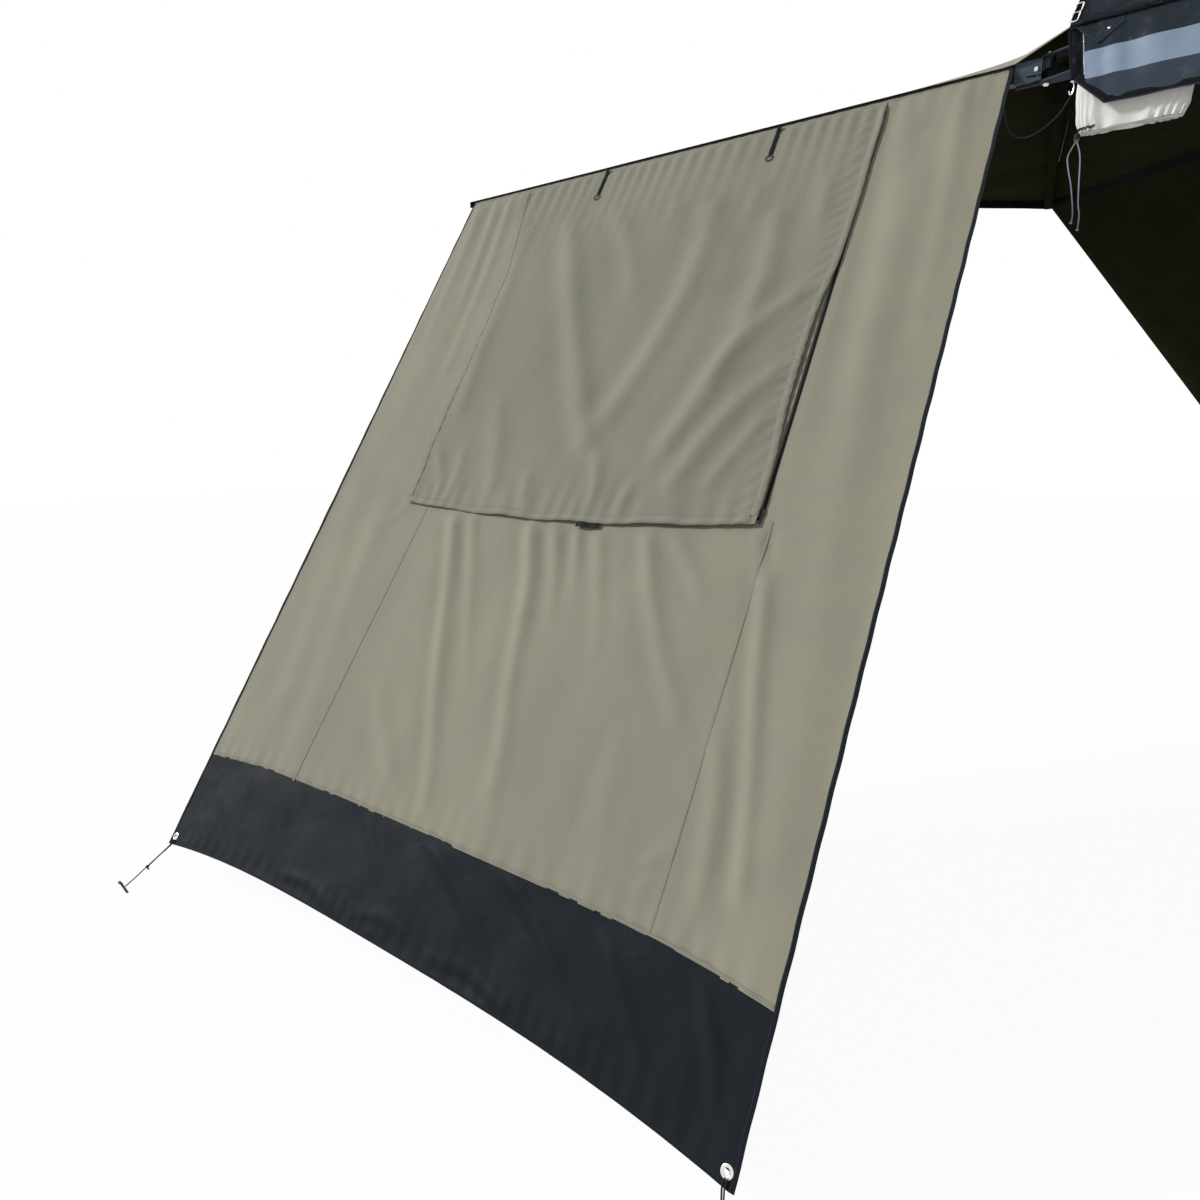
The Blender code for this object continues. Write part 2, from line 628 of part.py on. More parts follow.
def knuckle(prefix, arm, holder):
    """A channel that holds the tube, with its barrel on the pivot."""
    name = f"{prefix}_knuckle"
    space = arm_space(arm)
    inner, outer = knuckle_sides(arm)
    step = arm["side"] * KNUCKLE_PLATE
    low, high, start, length = arm["low"], arm["high"], arm["start"], arm["length"]
    plan = [(start, inner), (start, outer), (length, outer), (length, outer - step),
            (start + KNUCKLE_PLATE, outer - step), (start + KNUCKLE_PLATE, inner + step),
            (length, inner + step), (length, inner)]
    made = prism([Vector((x, y, low)) for x, y in plan], Vector((0, 0, high - low)))
    made.transform(space)
    piece = add(name, made, steel, holder)

    def join(tag, shape):
        shape.transform(space)
        combine(piece, tool(f"{name}_{tag}", shape, holder), "UNION")

    def cut(tag, shape):
        shape.transform(space)
        combine(piece, tool(f"{name}_{tag}", shape, holder))

    top = HUB_Z + HUB_HALF_GAP - GAP
    if prefix == "near_arm":
        barrel_low, barrel_high = BARREL_SPLIT + GAP, top
        join("neck", box((0, -0.006, barrel_low + GAP), (start + 0.001, 0.006, BARREL_STEP - GAP)))
        barrel = stepped(Vector((0, 0, barrel_low)), Vector((0, 0, 1)),
                         [(0, BARREL_RADIUS), (BARREL_STEP - barrel_low, BARREL_RADIUS),
                          (BARREL_STEP - barrel_low, COLLAR_RADIUS), (barrel_high - barrel_low, COLLAR_RADIUS)])
    else:
        barrel_low, barrel_high = low, BARREL_SPLIT
        plan = [(-NECK_DEPTH, outer + 0.0005), (start + 0.0015, outer + 0.0005),
                (start + 0.0015, inner - 0.0005), (NECK_DEPTH, inner - 0.0005), (NECK_DEPTH, 0),
                (-NECK_DEPTH, 0)]
        rise = Vector((0, 0, NECK_TOP - low - GAP))
        join("neck", prism([Vector((x, y, low + GAP)) for x, y in plan], rise))
        ear_near = -EAR_SIDE
        join("ear", box((-0.009, ear_near - EAR_WIDTH, NECK_TOP - 0.002), (0.010, ear_near, top)))
        barrel = rod((0, 0, barrel_low), (0, 0, barrel_high), BARREL_RADIUS)
    join("barrel", barrel)
    cut("bore", rod((0, 0, barrel_low - 0.01), (0, 0, barrel_high + 0.01), PIVOT_RADIUS + RUN))
    reach = 0.01 * arm["side"]
    z = arm["bolt_z"]
    cut("cross", rod((ARM_BOLT_AT, inner - reach, z), (ARM_BOLT_AT, outer + reach, z), ARM_BOLT_RADIUS + RUN))
    if prefix == "near_arm":
        cut("lock_slot", prism([Vector((x, outer - 2 * step, z)) for x, z in LOCK_SLOT],
                               Vector((0, 3 * step, 0))))
    for i, (x, z) in enumerate(arm["rivets"]):
        steps = [(0, RIVET_HEAD_RADIUS * 0.7), (RIVET_HEAD, RIVET_HEAD_RADIUS),
                 (RIVET_HEAD + KNUCKLE_PLATE / 2, RIVET_HEAD_RADIUS)]
        spot = Vector((x, outer + arm["side"] * RIVET_HEAD, z))
        join(f"rivet_{i}", stepped(spot, Vector((0, -arm["side"], 0)), steps, 10))


def knuckle_bolt(prefix, arm, holder):
    """The cross bolt: its head is on the outer plate and its end is flush with the inner plate."""
    inner, outer = knuckle_sides(arm)
    start = Vector((ARM_BOLT_AT, outer + arm["side"] * (GAP + ARM_BOLT_HEAD), arm["bolt_z"]))
    length = abs(outer - inner) + GAP + ARM_BOLT_HEAD
    steps = [(0, ARM_BOLT_HEAD_RADIUS * 0.7), (ARM_BOLT_HEAD * 0.5, ARM_BOLT_HEAD_RADIUS),
             (ARM_BOLT_HEAD, ARM_BOLT_HEAD_RADIUS), (ARM_BOLT_HEAD, ARM_BOLT_RADIUS), (length, ARM_BOLT_RADIUS)]
    made = stepped(start, Vector((0, -arm["side"], 0)), steps, 12)
    made.transform(arm_space(arm))
    add(f"{prefix}_knuckle_bolt", made, bright, holder, True)


def tube_line(arm):
    """The tube's middle line in the arm's frame, from its hub end to its tip."""
    slope = arm["rise"] / arm["reach"]
    middle = (arm["tube_low"] + arm["tube_high"]) / 2
    start = Vector((TUBE_START, arm["offset"], middle + slope * TUBE_START))
    end = Vector((arm["reach"] - TIP_CAP - GAP, arm["offset"], middle + slope * arm["reach"]))
    return start, end


def tube_rings(made, arm, sizes):
    """Rectangles square to the tube at (distance past its tip end, inset) or at its hub end."""
    start, end = tube_line(arm)
    along = (end - start).normalized()
    across = Vector((0, 1, 0))
    up = across.cross(along) * -1
    height = arm["tube_high"] - arm["tube_low"]
    rings = []
    for spot, inset in sizes:
        middle = start if spot is None else end + along * spot
        w, h = TUBE_WIDTH / 2 - inset, height / 2 - inset
        rings.append([made.verts.new(middle + across * (w * a) + up * (h * b))
                      for a, b in ((-1, -1), (1, -1), (1, 1), (-1, 1))])
    return rings


def arm_tube(prefix, arm, holder):
    made = bmesh.new()
    rings = tube_rings(made, arm, [(None, 0), (0, 0), (0, TUBE_WALL), (None, TUBE_WALL)])
    for a, b in zip(rings, rings[1:] + rings[:1]):
        skin(made, a, b)
    made.transform(arm_space(arm))
    add(f"{prefix}_tube", made, alloy, holder)


def tip_cap(prefix, arm, holder):
    """A plug in the tube with a flange over its end."""
    room = TUBE_WALL + GAP
    made = bmesh.new()
    rings = tube_rings(made, arm, [(-TIP_PLUG, room), (GAP, room), (GAP, 0), (GAP + TIP_CAP, 0)])
    made.faces.new(rings[0])
    made.faces.new(rings[-1])
    for a, b in zip(rings, rings[1:]):
        skin(made, a, b)
    made.transform(arm_space(arm))
    add(f"{prefix}_tip_cap", made, plastic, holder)


def keder_track():
    """The strip on the near arm that holds the wall's top piping."""
    inner = TUBE_WIDTH / 2 + GAP
    made = box((NEAR["length"] + 0.004, inner, -TRACK_HEIGHT / 2),
               (NEAR["reach"] - 0.004, inner + TRACK_WIDTH, TRACK_HEIGHT / 2))
    made.transform(arm_space(NEAR))
    add("near_arm_track", made, alloy, near_arm)


def far_sleeve():
    """A fabric pocket round the far arm, with a web that rises to the canopy."""
    start, end = tube_line(FAR)
    along = (end - start).normalized()
    across = Vector((0, 1, 0))
    up = across.cross(along) * -1
    inner_w = TUBE_WIDTH / 2 + SLEEVE_ROOM
    inner_h = (FAR["tube_high"] - FAR["tube_low"]) / 2 + SLEEVE_ROOM
    outer_w, outer_h = inner_w + SLEEVE_WALL, inner_h + SLEEVE_WALL
    web = SLEEVE_WEB / 2
    made = bmesh.new()
    rings = []
    for x in (SLEEVE_START, FAR["reach"] - SLEEVE_END_BACK):
        spot = start + along * ((x - start.x) / along.x)
        level = canopy_over_far_arm(spot.x) - WEB_ROOM
        outer = [spot + across * a + up * b for a, b in
                 ((-outer_w, -outer_h), (outer_w, -outer_h), (outer_w, outer_h), (web, outer_h))]
        outer += [Vector((spot.x, spot.y + web, level)), Vector((spot.x, spot.y - web, level))]
        outer += [spot + across * a + up * b for a, b in ((-web, outer_h), (-outer_w, outer_h))]
        inner = [spot + across * a + up * b for a, b in
                 ((-inner_w, -inner_h), (inner_w, -inner_h), (inner_w, inner_h), (web * 3, inner_h),
                  (web, inner_h), (-web, inner_h), (-web * 3, inner_h), (-inner_w, inner_h))]
        rings.append(([made.verts.new(p) for p in outer], [made.verts.new(p) for p in inner]))
    (outer_a, inner_a), (outer_b, inner_b) = rings
    for a, b in ((outer_a, outer_b), (inner_a, inner_b), (outer_a, inner_a), (outer_b, inner_b)):
        skin(made, a, b)
    made.transform(arm_space(FAR))
    add("far_arm_sleeve", made, canopy_olive, far_arm)


# Canopy, with its underside through these corners

near_tip = Vector((-(NEAR["reach"] + CANOPY_PAST_NEAR), wall_edge_y - PIPING_RADIUS, NEAR["tube_high"] + GAP))
far_tip = arm_space(FAR) @ Vector((FAR["reach"] + CANOPY_PAST_FAR, FAR["offset"], CANOPY_TIP_HEIGHT))
rail_tip = Vector((RAIL_START + RAIL_LENGTH, rail_far_face, RAIL_EDGE_HEIGHT))
knee = Vector((CANOPY_KNEE_X, near_tip.y, near_tip.z))


def canopy_over_far_arm(x):
    """Height of the rear bay's underside over a point of the far arm."""
    spot = arm_space(FAR) @ Vector((x, FAR["offset"], 0))
    normal = (far_tip - APEX).cross(hem(near_tip, far_tip, 7 / 8) - APEX)
    return APEX.z - (normal.x * (spot.x - APEX.x) + normal.y * (spot.y - APEX.y)) / normal.z


def hem(start, end, share):
    """A point of the canopy's outer hem, which bows in a little towards the hub."""
    flat = start.lerp(end, share)
    inward = (Vector((APEX.x, APEX.y, flat.z)) - flat).normalized()
    return flat + inward * (HEM_BOW * math.sin(math.pi * share))


def bay(start, end, bend, apex_shift):
    """Rows from the apex to the hem. bend is the knee in the first edge, or None."""
    corner = APEX + Vector((apex_shift, 0, 0))
    rows = []
    steps = (0, 0.08, 0.35, 0.65, 1)
    for column in range(9):
        share = column / 8
        outer = hem(start, end, share)
        row = []
        for s in steps:
            spot = corner.lerp(outer, s)
            if bend and 0 < s < 1:
                reach = (bend - corner).length / (start - corner).length
                on_edge = corner.lerp(bend, s / reach)
                if s > reach:
                    on_edge = bend.lerp(start, (s - reach) / (1 - reach))
                weight = (1 - share) ** 3
                spot = spot.lerp(on_edge, weight)
            row.append(spot)
        rows.append(row)
    return rows


def canopy():
    thick = Vector((0, 0, CANOPY_THICK))
    rear = bay(near_tip, far_tip, knee, -BAY_SEAM / 2)
    add("canopy_rear_bay", sheet(rear, thick), canopy_olive, fixed)
    front = bay(far_tip + Vector((BAY_SEAM, 0, 0)), rail_tip, None, BAY_SEAM / 2)
    add("canopy_front_bay", sheet(front, thick), canopy_olive, fixed)
    valance(rear, front)


def valance(rear, front):
    """The band below the outer hem. It is narrow at the near arm and turns the corner at the far arm."""
    line = [row[-1] + Vector((0, 0, -GAP)) for row in rear + front[1:]]
    line[0] = line[0].lerp(line[1], 0.06)
    line[-1] = line[-1].lerp(line[-2], 0.06)
    made = bmesh.new()
    loops = []
    for i, p in enumerate(line):
        inward = (Vector((APEX.x, APEX.y, p.z)) - p).normalized() * VALANCE_THICK
        share = min(1, i / 8)
        low = Vector((0, 0, -VALANCE_FOOT - (VALANCE_HEIGHT - VALANCE_FOOT) * share))
        loops.append([made.verts.new(q) for q in (p, p + inward, p + inward + low, p + low)])
    for a, b in zip(loops, loops[1:]):
        skin(made, a, b)
    made.faces.new(loops[0])
    made.faces.new(loops[-1])
    add("canopy_valance", made, black_canvas, fixed)


# Near wall, in its own plane: u across from the tip end, v down the slope, h outwards

def on_wall(u, v, h=0.0):
    return wall_corner + Vector((u, 0, 0)) + wall_down * v + wall_out * h


def bow(u):
    return abs((u - WALL_WIDTH / 2) / (WALL_WIDTH / 2))


def hem_v(u):
    return WALL_LENGTH - HEM_RISE * (1 - bow(u) ** 3)


def skirt_v(u):
    return SKIRT_TOP - SKIRT_RISE * (1 - bow(u) ** 4)


def seam_left(v):
    return SEAM_LEFT_TOP - SEAM_LEFT_LEAN * v


def steps_between(a, b, count):
    return [a + (b - a) * i / count for i in range(count + 1)]


def panel(name, outline, low, high, colour, holder, cutters=()):
    made = prism([on_wall(u, v, low) for u, v in outline], wall_out * (high - low))
    piece = add(name, made, colour, holder)
    for cutter in cutters:
        combine(piece, cutter)
    return piece


def wall_panels():
    edge = BINDING_WIDTH / 2
    top = PIPING_RADIUS + GAP
    inner_left = WINDOW_LEFT - GAP
    inner_right = WINDOW_RIGHT + GAP
    foot_left = seam_left(SKIRT_TOP)
    left = [(edge, top), (inner_left, top), (inner_left, WINDOW_BOTTOM),
            (seam_left(WINDOW_BOTTOM), WINDOW_BOTTOM), (foot_left, skirt_v(foot_left) - GAP)]
    left += [(u, skirt_v(u) - GAP) for u in steps_between(foot_left, edge, 6)[1:]]
    panel("wall_side_panel_left", left, -FABRIC, 0, khaki, wall_axis)
    right = [(inner_right, top), (WALL_WIDTH - edge, top)]
    right += [(u, skirt_v(u) - GAP) for u in steps_between(WALL_WIDTH - edge, SEAM_RIGHT, 5)]
    right += [(SEAM_RIGHT, WINDOW_BOTTOM), (inner_right, WINDOW_BOTTOM)]
    panel("wall_side_panel_right", right, -FABRIC, 0, khaki, wall_axis)
    centre = [(seam_left(WINDOW_BOTTOM + GAP) + GAP, WINDOW_BOTTOM + GAP),
              (SEAM_RIGHT - GAP, WINDOW_BOTTOM + GAP)]
    centre += [(u, skirt_v(u) - GAP) for u in steps_between(SEAM_RIGHT - GAP, foot_left + GAP, 12)]
    panel("wall_centre_panel", centre, -FABRIC, 0, khaki, wall_axis)
    mesh = [(WINDOW_LEFT, top), (WINDOW_RIGHT, top), (WINDOW_RIGHT, WINDOW_BOTTOM),
            (WINDOW_LEFT, WINDOW_BOTTOM)]
    panel("window_mesh", mesh, -FABRIC, 0, mesh_black, wall_axis)
    cover = [(ZIP_LEFT + ZIP_WIDTH / 2 + GAP, COVER_TOP + FLAP_HEADER + FLAP_TOP),
             (ZIP_RIGHT - ZIP_WIDTH / 2 - GAP, COVER_TOP + FLAP_HEADER + FLAP_TOP),
             (ZIP_RIGHT - ZIP_WIDTH / 2 - GAP, COVER_BOTTOM), (ZIP_LEFT + ZIP_WIDTH / 2 + GAP, COVER_BOTTOM)]
    panel("window_cover", cover, GAP, GAP + FABRIC, khaki, wall_axis)


def wall_skirt():
    edge = BINDING_WIDTH / 2
    across = steps_between(edge, WALL_WIDTH - edge, 20)
    outline = [(u, skirt_v(u)) for u in across] + [(u, hem_v(u)) for u in reversed(across)]
    cutters = []
    for name, u in (("left", EYELET_INSET), ("right", WALL_WIDTH - EYELET_INSET)):
        v = hem_v(u) - EYELET_INSET
        hole = rod(on_wall(u, v, -0.01), on_wall(u, v, 0.01), EYELET_BARREL + GAP)
        cutters.append(tool(f"skirt_hole_{name}", hole, wall_axis))
    panel("wall_skirt", outline, -FABRIC, 0, black_canvas, wall_axis, cutters)


def wall_edges():
    top_piping = rod(on_wall(0, 0), on_wall(WALL_WIDTH, 0), PIPING_RADIUS, 12)
    add("wall_top_piping", top_piping, binding_black, wall_axis, True)
    half, width = BINDING_THICK / 2, BINDING_WIDTH / 2 - GAP
    start = PIPING_RADIUS + GAP
    across = steps_between(width, WALL_WIDTH - width, 20)
    outline = [(0, start), (width, start)]
    outline += [(u, hem_v(u) + GAP) for u in across]
    outline += [(WALL_WIDTH - width, start), (WALL_WIDTH, start), (WALL_WIDTH, WALL_LENGTH + HEM_TAPE)]
    outline += [(u, hem_v(u) + GAP + HEM_TAPE) for u in reversed(across[1:-1])]
    outline += [(0, WALL_LENGTH + HEM_TAPE)]
    panel("wall_binding", outline, -FABRIC / 2 - half, -FABRIC / 2 + half, binding_black, wall_axis)


def window_zip():
    """The zip runs down one side of the window cover, along its foot and up the other side."""
    left, right, foot, half = ZIP_LEFT, ZIP_RIGHT, COVER_BOTTOM + GAP + ZIP_WIDTH / 2, ZIP_WIDTH / 2
    outline = [(left - half, ZIP_TOP), (left + half, ZIP_TOP), (left + half, foot - half),
               (right - half, foot - half), (right - half, ZIP_TOP), (right + half, ZIP_TOP),
               (right + half, foot + half), (left - half, foot + half)]
    panel("window_zip", outline, GAP, GAP + ZIP_THICK, plastic, wall_axis)


def zip_slider(name, u, holder):
    """The slider's body with its pull tab lying below it."""
    low = GAP + ZIP_THICK + GAP
    end = COVER_BOTTOM - 0.008
    half = SLIDER_WIDTH / 2
    outline = [(u - half, end - SLIDER_LENGTH), (u + half, end - SLIDER_LENGTH), (u + half, end),
               (u + half * 0.5, end + 0.002), (u + half * 0.5, end + SLIDER_TAB),
               (u - half * 0.5, end + SLIDER_TAB), (u - half * 0.5, end + 0.002), (u - half, end)]
    made = prism([on_wall(a, b, low) for a, b in outline], wall_out * SLIDER_THICK)
    add(name, made, plastic, holder)


def storm_flap():
    """The flap over the window: a header strip on the wall, the flap and its small tab."""
    def left(v):
        return FLAP_LEFT_TOP + (FLAP_LEFT_FOOT - FLAP_LEFT_TOP) * (v - FLAP_TOP) / (FLAP_FOOT - FLAP_TOP)

    high = FLAP_UNDER + FABRIC
    outline = [(left(FLAP_TOP), FLAP_TOP), (FLAP_RIGHT, FLAP_TOP)]
    for share in steps_between(0, 1, 12):
        u = FLAP_RIGHT + (FLAP_LEFT_FOOT - FLAP_RIGHT) * share
        outline.append((u, FLAP_FOOT + FLAP_BELLY * math.sin(math.pi * share) ** 0.8))
    piece = panel("storm_flap", outline, FLAP_UNDER, high, flap_khaki, flap_axis)
    header_foot = FLAP_TOP + FLAP_HEADER
    header = [(left(FLAP_TOP) + 0.001, FLAP_TOP + 0.001), (FLAP_RIGHT - 0.001, FLAP_TOP + 0.001),
              (FLAP_RIGHT - 0.001, header_foot), (left(header_foot) + 0.001, header_foot)]
    shape = prism([on_wall(u, v, GAP) for u, v in header], wall_out * (FLAP_UNDER + FABRIC / 2 - GAP))
    combine(piece, tool("flap_header", shape, flap_axis), "UNION")
    foot = FLAP_FOOT + FLAP_BELLY
    tab = [(FLAP_TAB_AT - FLAP_TAB_WIDTH / 2, foot - 0.030), (FLAP_TAB_AT + FLAP_TAB_WIDTH / 2, foot - 0.030),
           (FLAP_TAB_AT + FLAP_TAB_WIDTH / 2, foot + FLAP_TAB_LENGTH),
           (FLAP_TAB_AT - FLAP_TAB_WIDTH / 2, foot + FLAP_TAB_LENGTH)]
    shape = prism([on_wall(u, v, FLAP_UNDER - 0.0008) for u, v in tab], wall_out * 0.0018)
    combine(piece, tool("flap_tab", shape, flap_axis), "UNION")


def roll_strap(side_name, u):
    """A strap sewn on the flap's top, with a ring in its end, which holds the flap when it is rolled up."""
    face, half = FLAP_UNDER + FABRIC + GAP, STRAP_WIDTH / 2
    outline = [(u - half, FLAP_TOP + 0.002), (u + half, FLAP_TOP + 0.002),
               (u + half, STRAP_FOOT), (u - half, STRAP_FOOT)]
    panel(f"roll_strap_{side_name}", outline, face, face + STRAP_THICK, binding_black, flap_axis)
    middle = on_wall(u, STRAP_FOOT + GAP + RING_WIRE + RING_RADIUS, face + RING_WIRE)
    ring = hoop(middle, Vector((1, 0, 0)), wall_down, RING_RADIUS, RING_WIRE, 16, 6)
    add(f"strap_ring_{side_name}", ring, bright, flap_axis, True)


def eyelet(side_name, u):
    v = hem_v(u) - EYELET_INSET
    back, front = -FABRIC - GAP, GAP
    profile = [(back - EYELET_FLANGE, EYELET_HOLE), (back - EYELET_FLANGE, EYELET_RADIUS),
               (back, EYELET_RADIUS), (back, EYELET_BARREL), (front, EYELET_BARREL),
               (front, EYELET_RADIUS), (front + EYELET_FLANGE, EYELET_RADIUS * 0.9),
               (front + EYELET_FLANGE, EYELET_HOLE)]
    add(f"eyelet_{side_name}", turned(on_wall(u, v), wall_out, profile, 20), bright, wall_axis, True)


# Guy ropes run on from the wall's slope to their pegs

def rope_route(u, lean):
    """From the eyelet's face, over the hem, to the peg."""
    out = GAP + EYELET_FLANGE + GAP + ROPE_DIAMETER / 2
    start = on_wall(u, hem_v(u) - EYELET_INSET + EYELET_RADIUS * 0.8, out)
    over = on_wall(u, hem_v(u) + HEM_TAPE * 2, out + ROPE_OVER)
    end = peg_head(u, lean)
    sag = Vector((0, 0, -0.001))
    return [start, over, over.lerp(end, 0.35) + sag, over.lerp(end, 0.7) + sag, end]


def peg_head(u, lean):
    """The peg's hook, just above the ground and out from the hem's corner."""
    corner = on_wall(u, hem_v(u))
    return Vector((corner.x + lean, corner.y - PEG_OUT, ground_z + PEG_LIFT))


def guy_rope(name, u, lean):
    cord(name, rope_route(u, lean), ROPE_DIAMETER, cord_black, wall_axis, 0.009)


def peg(side_name, u, lean):
    """A round bar with its top bent over, driven in against the rope's pull."""
    down = Vector((0, 0.34, -0.94)).normalized()
    back = Vector((-1, 0, 0))
    reach = PEG_RADIUS + ROPE_DIAMETER / 2 * ROPE_SLANT + GAP
    start = peg_head(u, lean) + Vector((0, -reach, 0)) - down * PEG_HOOK
    bend = [start + down * PEG_LENGTH, start, start - down * 0.004 + back * 0.003,
            start - down * 0.005 + back * 0.008, start - down * 0.003 + back * 0.013,
            start + down * 0.004 + back * 0.015]
    add(f"peg_{side_name}", bar(bend, PEG_RADIUS, 10), bright, wall_axis, True)


# Far wall

def far_wall():
    """Hangs below the front valance and slopes outwards. Its left edge leans along the hem."""
    start, end = far_tip + Vector((BAY_SEAM, 0, 0)), rail_tip
    along = Vector((end.x - start.x, end.y - start.y, 0)).normalized()
    outward = Vector((-along.y, along.x, 0))
    outward = outward if outward.dot(Vector((1, 1, 0))) > 0 else -outward
    drop_left = start.z - VALANCE_HEIGHT - ground_z - 0.03
    drop_right = end.z - VALANCE_HEIGHT - ground_z - 0.03
    lean = 1 / math.tan(FAR_WALL_SLOPE)
    rows = []
    for share in steps_between(0.0, 1.0, 8):
        hang = hem(start, end, share) + Vector((0, 0, -VALANCE_HEIGHT - GAP))
        drop = drop_left + (drop_right - drop_left) * share
        shift = along * (FAR_WALL_SHIFT * (1 - share))
        foot = hang + outward * (drop * lean) + shift + Vector((0, 0, -drop))
        rows.append([hang, hang.lerp(foot, 0.5), foot])
    rows[0] = [p.lerp(q, 0.02) for p, q in zip(rows[0], rows[1])]
    add("far_wall_panel", sheet(rows, outward * FABRIC), canopy_olive, fixed)


# Travel bag

def leaning(section, start, end, lean):
    """A section pushed along X whose first end leans with the height: start is its x at z = 0."""
    made = bmesh.new()
    low = [made.verts.new((start + lean(z), y, z)) for y, z in section]
    high = [made.verts.new((end, y, z)) for y, z in section]
    made.faces.new(low)
    made.faces.new(high)
    skin(made, low, high)
    return made


def bag_roll():
    """The bag's body, rolled up on top of the rail."""
    far = rail_far_face - RAIL_FIN - GAP
    near, low, high, c = far - ROLL_DEPTH, bag_floor, bag_floor + ROLL_HEIGHT, ROLL_CORNER
    section = [(near + c * 0.5, low), (far - c * 0.4, low), (far, low + c * 0.4), (far, high - c),
               (far - c * 0.3, high - c * 0.3), (far - c, high), (near + c, high),
               (near + c * 0.3, high - c * 0.3), (near, high - c), (near, low + c * 0.5)]
    made = leaning(section, ROLL_START, BAG_END, lambda z: z * BAG_LEAN)
    add("travel_bag_roll", made, pvc, fixed)


def bag_cover():
    """The bag's lid, thrown back over the rail. It hangs clear of the rail's slot and tucks in at its fold."""
    near = cover_face
    top = bag_floor - GAP
    section = [(near, top), (near, COVER_FOLD), (near + COVER_TUCK, COVER_FOOT),
               (near + COVER_TUCK - PVC, COVER_FOOT), (near - PVC, COVER_FOLD), (near - PVC, top)]

    def lean(z):
        slope = (PANEL_FOOT[1] - PANEL_TOP[1]) / (PANEL_TOP[2] - PANEL_FOOT[2])
        edge = PANEL_TOP[1] + GAP * 2 + (PANEL_TOP[2] - z) * slope
        return edge + (COVER_RIM if z < COVER_FOLD - 0.001 else 0)

    piece = add("travel_bag_cover", leaning(section, 0, BAG_END, lean), pvc, fixed)
    for side_name, x in zip(("rear", "front"), BRACKET_AT):
        notch = box((x - COVER_NOTCH, near - 0.03, COVER_FOOT - 0.02),
                    (x + COVER_NOTCH, near + 0.04, rail_top + 0.003))
        combine(piece, tool(f"cover_notch_{side_name}", notch, fixed))


def bag_end_panel():
    near = rail_near_face - GAP - PVC
    outline = [(PANEL_FOOT[0], PANEL_FOOT[2]), (PANEL_FOOT[1], PANEL_FOOT[2]),
               (PANEL_TOP[1], bag_floor - GAP), (PANEL_TOP[0], bag_floor - GAP)]
    made = prism([Vector((x, near, z)) for x, z in outline], Vector((0, PVC, 0)))
    add("travel_bag_end_panel", made, pvc, fixed)


def bag_corner_flap():
    """A pointed flap with a metal-bound edge, hanging in front of the lid."""
    near = cover_face - PVC - GAP
    made = prism([Vector((x, near, min(z, bag_floor - GAP * 2))) for x, z in CORNER_FLAP],
                 Vector((0, -CORNER_FLAP_THICK, 0)))
    add("travel_bag_corner_flap", made, pvc, fixed)


def bag_strap_and_buckle():
    """A strap holds the roll down on its outer side, through a ladder buckle."""
    face = rail_far_face - RAIL_FIN - GAP - ROLL_DEPTH - GAP
    half = BAG_STRAP_WIDTH / 2
    low, high = bag_floor + ROLL_CORNER * 0.5, bag_floor + ROLL_HEIGHT - ROLL_CORNER
    middle = BUCKLE_AT

    def slanted(x, z):
        return middle.x + x + (z - middle.z) * BAG_LEAN

    strap = [(slanted(-half, low), low), (slanted(half, low), low), (slanted(half, high), high),
             (slanted(-half, high), high)]
    made = prism([Vector((x, face, z)) for x, z in strap], Vector((0, -0.002, 0)))
    add("bag_strap", made, binding_black, fixed)
    front = face - 0.002 - GAP
    half_w, half_h, wire = BUCKLE_WIDTH / 2, BUCKLE_HEIGHT / 2, BUCKLE_BAR

    def frame(left, right, foot, head, y, depth):
        corners = [(left, foot), (right, foot), (right, head), (left, head)]
        points = [Vector((slanted(x, middle.z + z), y, middle.z + z)) for x, z in corners]
        return prism(points, Vector((0, depth, 0)))

    piece = add("bag_buckle", frame(-half_w, half_w, -half_h, half_h, front, -wire), bright, fixed)
    for tag, foot, head in (("low", -half_h + wire, -wire / 2), ("high", wire / 2, half_h - wire)):
        window = frame(-half_w + wire, half_w - wire, foot, head, front + wire, -wire * 3)
        combine(piece, tool(f"buckle_window_{tag}", window, fixed))


# Peg bag, its drawcord and the cord lock

def peg_bag():
    """A gathered canvas bag below the hub bolt."""
    near, far = PEG_BAG_SIDES
    outline = list(PEG_BAG) + [(PEG_BAG_END - (x - PEG_BAG[0][0]), z) for x, z in reversed(PEG_BAG)]
    made = bmesh.new()
    rings = []
    for y, shrink in ((near, 0.010), (near + 0.012, 0), (far - 0.012, 0), (far, 0.010)):
        ring = []
        for x, z in outline:
            across = x + (shrink if x < 0.2 else -shrink)
            ring.append(made.verts.new((across, y, z + (shrink if z < -0.12 else 0))))
        rings.append(ring)
    made.faces.new(rings[0])
    made.faces.new(rings[-1])
    for a, b in zip(rings, rings[1:]):
        skin(made, a, b)
    add("peg_bag", made, cream, fixed)
    profile = [(0, LOCK_BORE), (0, LOCK_RADIUS * 0.85), (LOCK_LENGTH * 0.3, LOCK_RADIUS),
               (LOCK_LENGTH, LOCK_RADIUS), (LOCK_LENGTH, LOCK_BORE)]
    lock = turned(LOCK_AT, Vector((0, 0, -1)), profile, 16)
    add("cord_lock", lock, plastic, fixed, True)


